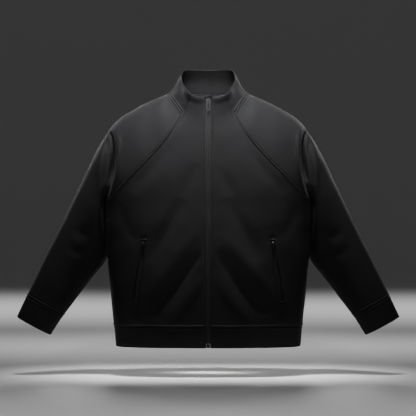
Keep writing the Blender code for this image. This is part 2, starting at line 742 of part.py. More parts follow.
def make_cuffs(panels, collection):
    rows = [CUFF_SECTION, CUFF_SECTION + 1]
    grid = sampled(panels["sleeve"], rows, half_steps(0, SLEEVE_COLUMNS))
    sides = {"first_row": 1}
    cloth_wall("cuff_left", grid, BAND, False, collection, sides, joined_from=0)
    cloth_wall("cuff_right", mirrored(*grid), BAND, False, collection, sides, joined_from=0)


def make_hem(panels, collection):
    """One band from the zip round the back to the zip."""
    front = sampled(panels["front"], [0, 1], half_steps(0, FRONT_COLUMNS))
    back = sampled(panels["back"], [0, 1], BACK_LINES)
    half = [np.concatenate([b, f[:, -2::-1]], axis=1) for b, f in zip(back, front)]
    cloth_wall("hem_band", both_halves(*half), BAND, False, collection, {"last_row": 1})


def make_collar(panels, collection):
    rows = half_steps(0, COLLAR_ROWS)
    columns = collar_lines(0)
    points, normals = sampled(panels["collar"], rows, columns)
    grid = both_halves(points[:, ::-1], normals[:, ::-1])
    sides = {"first_row": 1, "first_column": 1, "last_column": 1}
    cloth_wall("collar", grid, BAND, False, collection, sides)


def make_neck_tape(panels, collection):
    """A tape inside that covers the back neck seam, from shoulder to shoulder."""
    reach = 0.0045
    columns = collar_lines(SLEEVE_COLUMNS // 2)
    seam, out = (line[0] for line in sampled(panels["collar"], [0], columns))
    above = sampled(panels["collar"], [0.5], columns)[0][0] - seam
    above /= np.linalg.norm(above, axis=1)[:, None]
    lines = [seam - above * reach, seam + above * reach]
    depth = BAND + 2 * CLEARANCE
    points = np.array([line[::-1] - out[::-1] * depth for line in lines])
    grid = both_halves(points, np.array([out[::-1]] * 2))
    obj = cloth_wall("neck_tape", grid, TAPE, False, collection, {})
    painted(obj, BLACK_TAPE, 0.8)


# ---------------------------------------------------------------------------------------------------------
# The zips


def row_at(front, column, z):
    line = front[0][:, column * STEPS, 2]
    return float(np.interp(z, line, np.arange(len(line)) / STEPS))


def column_at(front, row, x):
    line = cubic(front[0], [row * STEPS])[0][:, 0]
    return float(np.interp(x, line, np.arange(len(line)) / STEPS))


def tape_depth(row):
    return float(np.interp(row, [1, 1.6], [HEM_TAPE_DEPTH, TAPE_DEPTH]))


def zip_lines(front, rows, across):
    """Points and normals on the fronts' outer face at distances from the centre, run on straight between."""
    points, normals = [], []
    for row in rows:
        columns = [column_at(front, row, max(x, ZIP_EDGE_X)) for x in across]
        line, out = (grid[0] for grid in sampled(front, [row], columns))
        line[:, 0] = across
        out[:, 0] *= line[:, 0] > ZIP_EDGE_X
        points.append(line)
        normals.append(out / np.linalg.norm(out, axis=1)[:, None])
    return np.array(points), np.array(normals)


def slider_place(front):
    """The bar's place on the tape's face, and the directions right, up and out of the zip there."""
    row = row_at(front, 0, SLIDER_Z)
    below, here, above = zip_lines(front, [row - 0.12, row, row + 0.12], [0.0])[0][:, 0]
    up = (above - below) / np.linalg.norm(above - below)
    right = np.array([1.0, 0.0, 0.0])
    out = np.cross(right, up)
    return here - out * TAPE_DEPTH, right, up, out


def make_main_zip(panels, collection):
    front = panels["front"]
    slider = slider_place(front)
    along = slider[2]
    rises = (POST_FROM - 0.0005, 0.0012)
    post_row, chain_row = (row_at(front, 0, SLIDER_Z + rise * along[2]) for rise in rises)
    box_row, top_row = row_at(front, 0, BOX_TOP_Z + 0.0004), row_at(front, 0, ZIP_TOP_Z)
    inner = [row for row in front_rows(front) if box_row + 0.02 < row < post_row - 0.1]
    rows = [0.02, box_row, 1.0, *inner[1:], post_row, top_row]
    across = [TAPE_INNER_X, POST_HALF_WIDTH + 0.0004, BOX_SIZE[0] / 2 + 0.0004, ZIP_EDGE_X, TAPE_OUTER_X]
    points, normals = zip_lines(front, rows, across)
    points = points - normals * np.array([tape_depth(row) for row in rows])[:, None, None]
    kept = np.ones((len(rows) - 1, len(across) - 1), bool)
    kept[0, :2] = False
    kept[-1, 0] = False
    left = closed_mesh(points, points - normals * TAPE, True, kept)
    painted(object_from("zip_tape_left", *left, collection), BLACK_TAPE, 0.8)
    points, normals = mirrored(points, normals)
    right = closed_mesh(points, points - normals * TAPE, True, kept[:, ::-1])
    painted(object_from("zip_tape_right", *right, collection), BLACK_TAPE, 0.8)

    rows = [box_row, 1.0, *inner[1:], chain_row]
    points, normals = zip_lines(front, rows, [0.0, CHAIN_HALF_WIDTH])
    depth = np.array([tape_depth(row) for row in rows])[:, None, None] + TAPE + CLEARANCE
    points, normals = both_halves(points - normals * depth, normals)
    chain = closed_mesh(points, points - normals * CHAIN_THICK, True)
    painted(object_from("zip_chain", *chain, collection), BLACK_TAPE, 0.5)

    make_slider("zip_slider", slider, collection)
    make_pull("zip_pull", MAIN_PULL, MAIN_PULL_WINDOWS, slider, collection)
    middle = zip_lines(front, [row_at(front, 0, BOX_TOP_Z - BOX_SIZE[1] / 2)], [0.0])[0][0, 0]
    width, height, deep = BOX_SIZE
    middle = middle + np.array([0, HEM_TAPE_DEPTH + TAPE / 2, 0])
    corners = [(r * width / 2, u * height / 2) for r, u in ((-1, -1), (1, -1), (1, 1), (-1, 1))]
    place = (middle, np.array([1.0, 0, 0]), np.array([0, 0, 1.0]), np.array([0, -1.0, 0]))
    painted(prism("zip_box", corners, -deep / 2, deep / 2, place, collection), GUNMETAL, 0.3, 1.0)


def prism(name, outline, start, end, place, collection, sideways=False):
    """An outline pushed from start to end in a place's right, up and out directions. Its origin is there. The
    outline is seen from the front, or from the right with out to the left when sideways, anticlockwise."""
    middle, right, up, out = (Vector(part) for part in place)
    shape = bmesh.new()
    corners = [(start, b, -a) if sideways else (a, b, start) for a, b in outline]
    face = shape.faces.new([shape.verts.new(corner) for corner in corners])
    grown = bmesh.ops.extrude_face_region(shape, geom=[face])
    push = (end - start, 0, 0) if sideways else (0, 0, end - start)
    moved = [item for item in grown["geom"] if isinstance(item, bmesh.types.BMVert)]
    bmesh.ops.translate(shape, vec=push, verts=moved)
    bmesh.ops.recalc_face_normals(shape, faces=shape.faces)
    mesh = bpy.data.meshes.new(name)
    shape.to_mesh(mesh)
    shape.free()
    obj = bpy.data.objects.new(name, mesh)
    collection.objects.link(obj)
    obj.matrix_world = Matrix.Translation(middle) @ Matrix((right, up, out)).transposed().to_4x4()
    return obj


def symmetric(table):
    """The closed outline, anticlockwise, of half widths at distances below the bar."""
    return [(-half, -below) for below, half in table] + [(half, -below) for below, half in reversed(table)]


def hidden(obj):
    """Puts a shape that only cuts or joins others among the cutters."""
    for collection in obj.users_collection:
        collection.objects.unlink(obj)
    bpy.data.collections[CUTTERS].objects.link(obj)
    obj.hide_render = True
    obj.display_type = "WIRE"
    return obj


def combine(obj, others, operation):
    for other in others:
        step = obj.modifiers.new(other.name, "BOOLEAN")
        step.operation, step.object, step.solver = operation, other, "EXACT"


def make_slider(name, place, collection):
    """A slider's two plates, the post between them that parts the tapes, and the strap over the pull."""
    back = TAPE + 2 * CLEARANCE + CHAIN_THICK
    outline = symmetric(SLIDER_OUTLINE)
    obj = prism(name, outline, CLEARANCE, CLEARANCE + PLATE_THICK, place, collection)
    painted(obj, GUNMETAL, 0.35, 1.0)
    behind = [(0.92 * r, 0.92 * u) for r, u in outline]
    rear = hidden(prism(name + "_rear", behind, -back - PLATE_THICK, -back, place, collection))
    half = POST_HALF_WIDTH
    corners = [(-half, POST_FROM), (half, POST_FROM), (half, POST_TO), (-half, POST_TO)]
    reach = (-back - PLATE_THICK / 2, CLEARANCE + PLATE_THICK / 2)
    post = hidden(prism(name + "_post", corners, *reach, place, collection))
    foot = CLEARANCE + PLATE_THICK / 2
    clear = BAR_ABOVE_TAPE + PULL_THICK / 2 + CLEARANCE
    tall = clear + STRAP_THICK
    inner = STRAP_FEET - STRAP_THICK
    half_arch = [(foot, STRAP_FEET), (tall - 0.0012, STRAP_FEET), (tall, STRAP_FEET - 0.0016)]
    half_hole = [(clear, inner - 0.0008), (clear - 0.0006, inner), (foot, inner)]
    arch = half_arch + [(n, -u) for n, u in reversed(half_arch)]
    arch += [(n, -u) for n, u in reversed(half_hole)] + half_hole
    arch = [(-n, u) for n, u in arch]
    strap = prism(name + "_strap", arch, -STRAP_WIDTH / 2, STRAP_WIDTH / 2, place, collection, sideways=True)
    combine(obj, (hidden(strap), post, rear), "UNION")


def at_bar(place):
    """The same place with its middle on the bar's axis."""
    middle, right, up, out = place
    return middle + out * BAR_ABOVE_TAPE, right, up, out


def make_pull(name, table, windows, place, collection):
    """A flat pull that hangs by the bar above its first window, with its origin on the bar's axis."""
    place = at_bar(place)
    obj = prism(name, symmetric(table), -PULL_THICK / 2, PULL_THICK / 2, place, collection)
    painted(obj, BLACK_METAL, 0.35, 1.0)
    cutters = []
    for number, (start, end, half) in enumerate(windows):
        corners = [(-half, -end), (half, -end), (half, -start), (-half, -start)]
        cutter = prism(f"{name}_window_{number}", corners, -PULL_THICK, PULL_THICK, place, collection)
        cutters.append(hidden(cutter))
    combine(obj, cutters, "DIFFERENCE")


def pocket_place(front):
    """The bar's place on the pocket's tape, the zip's directions there, and the pull's, which hangs plumb."""
    row = row_at(front, POCKET_COLUMN, POCKET_SLIDER_Z)
    rows = [row - 0.1, row, row + 0.1]
    (below, here, above), outs = (grid[:, 0] for grid in sampled(front, rows, [POCKET_COLUMN]))
    up = (above - below) / np.linalg.norm(above - below)
    right = np.cross(up, outs[1])
    right /= np.linalg.norm(right)
    out = np.cross(right, up)
    plumb = np.array([0, 0, 1.0]) - out * out[2]
    plumb = 0.6 * plumb / np.linalg.norm(plumb) + 0.4 * up
    plumb /= np.linalg.norm(plumb)
    middle = here - out * TAPE_DEPTH
    return (middle, right, up, out), (middle, np.cross(plumb, out), plumb, out)


def mirrored_place(place):
    middle, right, up, out = (vector * np.array([-1, 1, 1]) for vector in place)
    return middle, -right, up, out


def make_pocket_zips(panels, collection):
    front = panels["front"]
    zip_place, pull_place = pocket_place(front)
    bottom, top = slot_rows(front)
    line = front[0][:, POCKET_COLUMN * STEPS]
    per_metre = (top - bottom) / np.linalg.norm(cubic(line, [top * STEPS]) - cubic(line, [bottom * STEPS]))
    spare = POCKET_TAPE_SPARE * per_metre
    bar = row_at(front, POCKET_COLUMN, POCKET_SLIDER_Z)
    post, chain_top = bar + (POST_FROM - 0.0005) * per_metre, bar + 0.0012 * per_metre
    inner = [row for row in front_rows(front) if bottom < row < post - 0.1]
    rows = [bottom - spare, bottom, *inner, post, bar + (POST_TO + 0.0005) * per_metre, top + spare]
    slit = POST_HALF_WIDTH + 0.0004
    across = [-POCKET_TAPE_HALF_WIDTH, -SLOT_WIDTH / 2, -slit, slit, SLOT_WIDTH / 2, POCKET_TAPE_HALF_WIDTH]
    columns = [[POCKET_COLUMN + columns_from_slot(front, row, x) for x in across] for row in rows]
    points, normals = sampled(front, rows, columns)
    points = points - normals * TAPE_DEPTH
    kept = np.ones((len(rows) - 1, len(across) - 1), bool)
    kept[-2, 2] = False
    tape = (points, normals, kept, TAPE)
    rows = [bottom, *inner, chain_top]
    across = [-CHAIN_HALF_WIDTH, CHAIN_HALF_WIDTH]
    columns = [[POCKET_COLUMN + columns_from_slot(front, row, x) for x in across] for row in rows]
    points, normals = sampled(front, rows, columns)
    points = points - normals * (TAPE_DEPTH + TAPE + CLEARANCE)
    chain = (points, normals, np.ones((len(rows) - 1, 1), bool), CHAIN_THICK)
    for kind, (points, normals, kept, thick) in (("tape", tape), ("chain", chain)):
        left = closed_mesh(points, points - normals * thick, True, kept)
        painted(object_from(f"pocket_{kind}_left", *left, collection), BLACK_TAPE, 0.7)
        points, normals = mirrored(points, normals)
        right = closed_mesh(points, points - normals * thick, True, kept[:, ::-1])
        painted(object_from(f"pocket_{kind}_right", *right, collection), BLACK_TAPE, 0.7)
    for side, turned in (("left", False), ("right", True)):
        places = [mirrored_place(p) if turned else p for p in (zip_place, pull_place)]
        make_slider(f"pocket_slider_{side}", places[0], collection)
        make_pull(f"pocket_pull_{side}", POCKET_PULL, POCKET_PULL_WINDOWS, places[1], collection)


PIECES = (
    make_fronts,
    make_back,
    make_sleeves,
    make_cuffs,
    make_hem,
    make_collar,
    make_neck_tape,
    make_main_zip,
    make_pocket_zips,
)


# ---------------------------------------------------------------------------------------------------------


def clear_scene():
    for obj in list(bpy.data.objects):
        bpy.data.objects.remove(obj)


def main():
    clear_scene()
    jacket, cutters = (bpy.data.collections.new(name) for name in ("track_jacket", CUTTERS))
    for collection in (jacket, cutters):
        bpy.context.scene.collection.children.link(collection)
    panels = smooth_panels()
    for make in PIECES:
        make(panels, jacket)


main()
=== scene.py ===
"""The finished look of a track jacket with raglan sleeves: fine cloth walls with seams, folds and stitches,
zips, materials, light and camera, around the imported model.

The cloth repeats the model's own construction: a coarse cage of all the panels, joined at their seams and
subdivided into one smooth surface. Each panel is sampled from it closely, pushed out and in by its seams and
folds, and thickened inwards.
"""

import math

import bpy
import numpy as np
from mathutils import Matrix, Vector


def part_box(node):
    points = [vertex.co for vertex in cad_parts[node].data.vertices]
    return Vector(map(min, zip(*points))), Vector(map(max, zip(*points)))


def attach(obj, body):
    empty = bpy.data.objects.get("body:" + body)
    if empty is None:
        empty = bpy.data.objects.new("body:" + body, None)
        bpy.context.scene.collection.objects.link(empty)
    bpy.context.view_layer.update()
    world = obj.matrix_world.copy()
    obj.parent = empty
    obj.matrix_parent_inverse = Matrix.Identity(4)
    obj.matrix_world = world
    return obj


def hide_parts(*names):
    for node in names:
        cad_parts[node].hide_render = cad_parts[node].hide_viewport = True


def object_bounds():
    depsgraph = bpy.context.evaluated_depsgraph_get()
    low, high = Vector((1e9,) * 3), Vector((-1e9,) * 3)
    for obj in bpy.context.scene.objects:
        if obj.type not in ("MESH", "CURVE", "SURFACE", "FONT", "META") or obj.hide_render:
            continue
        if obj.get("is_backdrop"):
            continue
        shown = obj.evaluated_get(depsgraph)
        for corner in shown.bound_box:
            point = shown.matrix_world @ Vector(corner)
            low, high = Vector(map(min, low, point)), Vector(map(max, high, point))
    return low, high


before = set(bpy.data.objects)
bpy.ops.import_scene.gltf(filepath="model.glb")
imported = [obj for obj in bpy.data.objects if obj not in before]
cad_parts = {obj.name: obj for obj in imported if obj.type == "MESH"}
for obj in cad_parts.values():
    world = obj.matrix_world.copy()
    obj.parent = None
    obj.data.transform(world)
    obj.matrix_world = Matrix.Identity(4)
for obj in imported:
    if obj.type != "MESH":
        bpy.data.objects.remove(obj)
CAD_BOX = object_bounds()

# Cloth and seams
CLOTH = 0.0020  # the body and sleeves
BAND = 0.0030  # the doubled collar, cuffs and hem band
TAPE = 0.0008  # woven zip and neck tape

# The torso's sections, from the hem up to the armpit
TORSO_COLUMNS = ("z", "half_width", "front", "back", "side_y")
TORSO = (
    (-0.669, 0.2445, 0.104, 0.102, 0.002),
    (-0.615, 0.2490, 0.108, 0.106, 0.000),
    (-0.550, 0.2555, 0.112, 0.110, -0.003),
    (-0.480, 0.2620, 0.116, 0.113, -0.005),
    (-0.410, 0.2675, 0.119, 0.115, -0.006),
    (-0.345, 0.2705, 0.120, 0.116, -0.003),
    (-0.290, 0.2715, 0.119, 0.116, 0.006),
)
ARMPIT_Z = TORSO[-1][0]
ZIP_EDGE_X = 0.0065  # half the gap between the two fronts
TORSO_SQUARE = 2.4  # exponent of the torso's rounded section, 2 is an ellipse
SHOULDER_SQUARE = 3.6  # the same where the shoulders square off
SQUARE_FROM, SQUARE_TO = -0.420, -0.120  # heights between which it squares off
ARCH = 2.2  # exponent of the arch from chest over the shoulder to the back
SHOULDER_BACK = 0.011  # how far behind the middle the shoulder line runs

# The shoulder line from the neck to the arm, and its run on under the collar
SHOULDER_COLUMNS = ("x", "z")
SHOULDER = (
    (0.000, 0.045),
    (0.068, 0.020),
    (0.105, 0.000),
    (0.140, -0.0155),
    (0.173, -0.0305),
    (0.210, -0.0510),
    (0.228, -0.0615),
    (0.245, -0.0760),
    (0.259, -0.0940),
    (0.274, -0.1180),
)

# The raglan seams from the armpit up to the collar, and the rows' heights at the centre front and back
RAGLAN = (  # front_x, front_z, back_x, back_z, centre_front_z, centre_back_z, shoulder_x
    (0.2755, -0.290, 0.2755, -0.290, -0.292, -0.290, 0.2590),
    (0.2620, -0.279, 0.2620, -0.278, -0.265, -0.255, 0.2535),
    (0.2515, -0.267, 0.2520, -0.265, -0.238, -0.220, 0.2455),
    (0.2260, -0.240, 0.2270, -0.234, -0.211, -0.183, 0.2250),
    (0.1930, -0.207, 0.1960, -0.196, -0.184, -0.147, 0.2010),
    (0.1600, -0.174, 0.1650, -0.156, -0.157, -0.110, 0.1770),
    (0.1280, -0.139, 0.1350, -0.113, -0.130, -0.074, 0.1520),
    (0.0980, -0.100, 0.1060, -0.064, -0.104, -0.038, 0.1270),
    (0.0680, -0.053, 0.0760, -0.006, -0.077, -0.001, 0.1050),
)
ROW_RISE = 1.6  # exponent of a row's way from its centre height to the seam's
FOLD_DEPTH = 0.010  # the fold where the sleeve breaks at the armhole
FOLD_CREST = 0.004  # how far the cloth beside it stands up
FOLD_INSET = 0.018  # how far it bows in from the line between armpit and shoulder
# How far from the armpit the crease there is rounded off, how much and how often
ARMPIT_ROUND, ARMPIT_SHARE, ARMPIT_TIMES = 0.060, 0.6, 24
CREST_ROW, ARMHOLE_ROW = 2, 0  # rows of RAGLAN
CAP_EASE = 0.75  # how far the sleeve's columns above the armhole crowd towards the seams

# The arm's sections from below the armhole to the cuff's end
ARM = (  # outer_x, outer_z, inner_x, inner_z, centre_y, half_depth, tuck, lift
    (0.2785, -0.123, 0.2805, -0.326, 0.009, 0.068, 0.0140, 1.0),
    (0.3010, -0.161, 0.2775, -0.366, 0.018, 0.072, 0.0165, 0.7),
    (0.3315, -0.224, 0.2750, -0.405, 0.027, 0.074, 0.0150, 0.4),
    (0.3625, -0.289, 0.2785, -0.441, 0.033, 0.070, 0.0080, 0.2),
    (0.3945, -0.356, 0.2985, -0.477, 0.035, 0.064, 0.0, 0.0),
    (0.4245, -0.418, 0.3290, -0.515, 0.032, 0.056, 0.0, 0.0),
    (0.4535, -0.479, 0.3570, -0.553, 0.024, 0.048, 0.0, 0.0),
    (0.4815, -0.537, 0.3845, -0.589, 0.015, 0.041, 0.0, 0.0),
    (0.5070, -0.592, 0.4170, -0.640, 0.006, 0.035, 0.0, 0.0),
)
TUCK_DEPTH = 0.045  # how far behind the middle the sleeve reaches in behind the body by its tuck
LIFT = 0.26  # how far the lines beside the seam under the arm spread from it, times a section's lift
ARM_SQUARE = 2.15  # exponent of its rounded sections

# The collar: its seam to the sleeve and back, and its top edge, from the front round to the centre back, as
# x, y and z
NECK_FRONT = ((0.0680, -0.0720, -0.0530), (0.0925, -0.0440, -0.0180), (0.1050, 0.0080, 0.0000))
NECK_BACK = ((0.1050, 0.0080, 0.0000), (0.0960, 0.0380, -0.0020), (0.0760, 0.0560, -0.0060))
COLLAR_TOP = (
    (0.0410, -0.0660, -0.0060),
    (0.0570, -0.0500, 0.0110),
    (0.0680, -0.0260, 0.0270),
    (0.0715, -0.0040, 0.0430),
    (0.0690, 0.0180, 0.0580),
    (0.0580, 0.0370, 0.0640),
    (0.0330, 0.0500, 0.0645),
    (0.0000, 0.0540, 0.0640),
)
COLLAR_FRONT_TOP = (-0.0740, -0.0110)  # y, z of its top edge beside the zip
COLLAR_BULGE = 0.0015  # of its middle, outwards

# Columns and rows of the cage
FRONT_COLUMNS = 5
BACK_COLUMNS = 5
SLEEVE_COLUMNS = 10
COLLAR_ROWS = 2
ARMPIT_ROW = len(TORSO) - 1
NECK_ROW = ARMPIT_ROW + len(RAGLAN) - 1
ARMHOLE_SECTION = len(RAGLAN) - 1
CUFF_SECTION = ARMHOLE_SECTION + len(ARM) - 1
LEVELS = 3  # subdivisions of the cage
STEPS = 2**LEVELS
CAGE_FITS = 6  # times that it is moved until its smooth surface passes through the wanted points
UV_CELLS = 64  # more than the cage's rows and columns

# Pockets: a zip in a slot of each front, leaning outwards as it goes down
POCKET_TOP = (0.1675, -0.388)  # x, z
POCKET_BOTTOM = (0.1915, -0.546)
POCKET_COLUMN = 2  # the cage column that runs along the slot
SLOT_WIDTH = 0.0125
SHIFT_BELOW, SHIFT_ABOVE = 0.01, 0.02  # how far past the slot's ends the columns still follow it fully
SHIFT_FADE = 0.15  # how far beyond that the following fades out
SHIFT_OUTER, SHIFT_INNER = 0.45, 0.3  # shares of the shift that the columns beside it take

SIDES = (("left", 1), ("right", -1))  # the wearer's sides, and the sign of their x

# ----- Reading the tables -----


def column(table, names, name):
    return np.array([row[names.index(name)] for row in table])


def interpolated(table, names, key, name, at):
    """The table's value at a place between its rows."""
    keys, values = column(table, names, key), column(table, names, name)
    order = np.argsort(keys)
    return float(np.interp(at, keys[order], values[order]))


def cubic(points, places):
    """Points of the smooth curve through the given ones. A place is 0 at the first and 1 at the next."""
    points = np.asarray(points, float)
    padded = np.concatenate([[2 * points[0] - points[1]], points, [2 * points[-1] - points[-2]]])
    places = np.clip(np.asarray(places, float), 0, len(points) - 1)
    first = np.minimum(places.astype(int), len(points) - 2)
    t = (places - first).reshape((-1,) + (1,) * (points.ndim - 1))
    a, b, c, d = (padded[first + k] for k in range(4))
    return 0.5 * (2 * b + (c - a) * t + (2 * a - 5 * b + 4 * c - d) * t**2 + (3 * b - a - 3 * c + d) * t**3)


def run_of(line):
    """How far along a line each of its points lies."""
    return np.concatenate([[0], np.cumsum(np.linalg.norm(np.diff(line, axis=0), axis=1))])


def even_places(points, count):
    """Places on the curve through the points that cut it into count equal lengths."""
    fine = np.linspace(0, len(points) - 1, 40 * len(points))
    run = run_of(cubic(points, fine))
    return np.interp(np.linspace(0, run[-1], count + 1), run, fine)


def read_off(values, run, at):
    """Rows of values, given at the lengths in run, read off at other lengths."""
    return np.stack([np.interp(at, run, values[:, k]) for k in range(values.shape[1])], axis=1)


def dense(line, step=0.0008):
    """The line's points closely and evenly spaced."""
    run = run_of(line)
    return read_off(line, run, np.linspace(0, run[-1], max(int(run[-1] / step), 2) + 1))


BATCH = 4000  # points handled at a time, which bounds the memory


def nearest(points, line):
    """Each point's distance from a dense line, and where on it, from 0 to 1, the nearest place is."""
    flat = points.reshape(-1, points.shape[-1])
    far, where = np.empty(len(flat)), np.empty(len(flat))
    square = (line**2).sum(axis=1)
    for first in range(0, len(flat), BATCH):
        some = flat[first : first + BATCH]
        gaps = (some**2).sum(axis=1)[:, None] - 2 * some @ line.T + square
        index = gaps.argmin(axis=1)
        far[first : first + BATCH] = np.linalg.norm(some - line[index], axis=1)
        where[first : first + BATCH] = index / (len(line) - 1)
    return far.reshape(points.shape[:-1]), where.reshape(points.shape[:-1])


def unit(vectors):
    return vectors / np.linalg.norm(vectors, axis=-1, keepdims=True)


def turned(points, mirror):
    """The points, or with mirror -1 their mirror image in the other half."""
    return points * np.array([mirror, 1, 1])


# ----- The form that the cloth follows -----


def torso_size(name, z):
    """A column of the torso's sections at a height. Above the armpit they stay as they are there."""
    return interpolated(TORSO, TORSO_COLUMNS, "z", name, min(z, ARMPIT_Z))


def torso_power(z):
    """The exponent of the torso's rounded section at a height."""
    squared = min(max((z - SQUARE_FROM) / (SQUARE_TO - SQUARE_FROM), 0), 1)
    return TORSO_SQUARE + squared**2 * (3 - 2 * squared) * (SHOULDER_SQUARE - TORSO_SQUARE)


def torso_depth(x, z, side):
    """The torso's depth at x, from its side's middle line, before the shoulders' arch. side is -1 at the
    front and 1 at the back."""
    depth = torso_size("front" if side < 0 else "back", z) - side * middle_y(z)
    power = torso_power(z)
    share = min(abs(x) / torso_size("half_width", z), 1)
    return depth * (1 - share**power) ** (1 / power)


def middle_y(z):
    """Where the side seam runs below the armpit, and the shoulder line above it."""
    if z <= ARMPIT_Z:
        return torso_size("side_y", z)
    rise = min((z - ARMPIT_Z) / -ARMPIT_Z, 1)
    return TORSO[-1][4] + rise * (SHOULDER_BACK - TORSO[-1][4])


def shoulder_z(x):
    return interpolated(SHOULDER, SHOULDER_COLUMNS, "x", "z", x)


def arch_share(x, z):
    """What the arch over the shoulder leaves of the torso's depth."""
    if z <= ARMPIT_Z:
        return 1.0
    rise = min((z - ARMPIT_Z) / (shoulder_z(x) - ARMPIT_Z), 1)
    return (1 - rise**ARCH) ** (1 / ARCH)


def torso_point(x, z, side):
    return np.array([x, middle_y(z) + side * torso_depth(x, z, side) * arch_share(x, z), z])


def arch_point(x, turn, side, depth_change=0.0):
    """A point of the arch over the shoulder. turn is 0 at the armpit's height and 90 degrees on top."""
    z = ARMPIT_Z + math.sin(turn) ** (2 / ARCH) * (shoulder_z(x) - ARMPIT_Z)
    depth = torso_depth(x, z, side) * math.cos(turn) ** (2 / ARCH) + depth_change
    return np.array([x, middle_y(z) + side * depth, z])


# ----- The cage: grids of points, one for each panel of the half -----


def torso_columns(count):
    """Shares of the half width that space the columns evenly round the torso's section."""
    turns = np.linspace(0, math.pi / 2, count + 1)
    return np.sin(turns) ** (2 / TORSO_SQUARE)


def lower_row(row, side, count, first_x):
    """A row of the torso below the armpit, from the centre to the side seam."""
    z, half, _, _, side_y = TORSO[row]
    x = first_x + (half - first_x) * torso_columns(count)
    if side < 0:
        shift_to_pocket(x, z)
    points = [torso_point(value, z, side) for value in x[:-1]]
    return np.array([*points, (half, side_y, z)])


def shift_to_pocket(x, z):
    """Moves a row's columns so that one of them runs along the pocket, less and less above and below it."""
    (top_x, top_z), (bottom_x, bottom_z) = POCKET_TOP, POCKET_BOTTOM
    line_x = bottom_x + (z - bottom_z) / (top_z - bottom_z) * (top_x - bottom_x)
    past = max(bottom_z - SHIFT_BELOW - z, z - top_z - SHIFT_ABOVE, 0)
    shift = (line_x - x[POCKET_COLUMN]) * max(1 - past / SHIFT_FADE, 0)
    x[POCKET_COLUMN] += shift
    x[POCKET_COLUMN + 1] += SHIFT_OUTER * shift
    x[POCKET_COLUMN - 1] += SHIFT_INNER * shift


def upper_row(row, side, count, first_x):
    """A row between the centre and the raglan seam."""
    front_x, front_z, back_x, back_z, centre_front_z, centre_back_z, _ = RAGLAN[row]
    if side < 0:
        end_x, end_z, centre_z = front_x, front_z, centre_front_z
    else:
        end_x, end_z, centre_z = back_x, back_z, centre_back_z
    even = np.linspace(0, 1, count + 1)
    risen = row / (len(RAGLAN) - 1)
    share = torso_columns(count) * (1 - risen) + even * risen
    x = first_x + (end_x - first_x) * share
    if side < 0:
        shift_to_pocket(x, end_z)
    z = centre_z + (end_z - centre_z) * share**ROW_RISE
    points = np.array([torso_point(a, b, side) for a, b in zip(x, z)])
    if row == ARMHOLE_ROW:
        points[-1] = armpit()
    return points


def armpit():
    return np.array([RAGLAN[ARMHOLE_ROW][0], TORSO[-1][4], ARMPIT_Z])


def extension_rows():
    """The fronts' rows above the raglan seams' ends, which run on into the collar."""
    below = upper_row(len(RAGLAN) - 1, -1, FRONT_COLUMNS, ZIP_EDGE_X)
    below[-1] = NECK_FRONT[0]
    share = np.linspace(0, 1, FRONT_COLUMNS + 1)
    top_x = ZIP_EDGE_X + (COLLAR_TOP[0][0] - ZIP_EDGE_X) * share
    bow = share**2
    top_y = COLLAR_FRONT_TOP[0] + (COLLAR_TOP[0][1] - COLLAR_FRONT_TOP[0]) * bow
    top_z = COLLAR_FRONT_TOP[1] + (COLLAR_TOP[0][2] - COLLAR_FRONT_TOP[1]) * bow
    top = np.stack([top_x, top_y, top_z], axis=1)
    middle = (below + top) / 2
    middle[:, 1] -= COLLAR_BULGE
    return [below, middle, top]


def front_cage():
    rows = [lower_row(k, -1, FRONT_COLUMNS, ZIP_EDGE_X) for k in range(ARMPIT_ROW)]
    rows += [upper_row(k, -1, FRONT_COLUMNS, ZIP_EDGE_X) for k in range(len(RAGLAN) - 1)]
    return np.array(rows + extension_rows())


def back_cage():
    rows = [lower_row(k, 1, BACK_COLUMNS, 0.0) for k in range(ARMPIT_ROW)]
    rows += [upper_row(k, 1, BACK_COLUMNS, 0.0) for k in range(len(RAGLAN))]
    rows[-1][-1] = NECK_BACK[-1]
    return np.array(rows)


def neck_row():
    """The sleeve's end at the collar, from the front raglan seam over the shoulder to the back one."""
    half = SLEEVE_COLUMNS // 2
    front = cubic(NECK_FRONT, even_places(NECK_FRONT, half))
    back = cubic(NECK_BACK, even_places(NECK_BACK, half))
    return np.concatenate([front, back[1:]])


def cap_row(row):
    """A section of the sleeve above the armhole, from the front raglan seam over the shoulder to the back."""
    front_x, front_z, back_x, back_z, _, _, top_x = RAGLAN[row]
    half = SLEEVE_COLUMNS // 2
    shares = np.linspace(0, 1, half + 1)
    points = []
    for side, start_x, start_z in ((-1, front_x, front_z), (1, back_x, back_z)):
        rise = (start_z - ARMPIT_Z) / (shoulder_z(start_x) - ARMPIT_Z)
        start = math.asin(max(rise, 0) ** (ARCH / 2))
        run = []
        for share in shares:
            eased = (1 - CAP_EASE) * share + CAP_EASE * share**2
            turn = start + (math.pi / 2 - start) * eased
            bow = math.sin(math.pi * share)
            x = start_x + (top_x - start_x) * share
            change = 0.0
            if row <= CREST_ROW:
                x -= FOLD_INSET * bow**1.5
                change = FOLD_CREST * bow
            if row == ARMHOLE_ROW:
                change = -FOLD_DEPTH * bow
            run.append(arch_point(x, turn, side, change))
        points.append(run)
    points[0][0] = torso_point(front_x, front_z, -1)
    points[1][0] = torso_point(back_x, back_z, 1)
    if row == ARMHOLE_ROW:
        points[0][0] = points[1][0] = armpit()
    return np.array(points[0] + points[1][-2::-1])


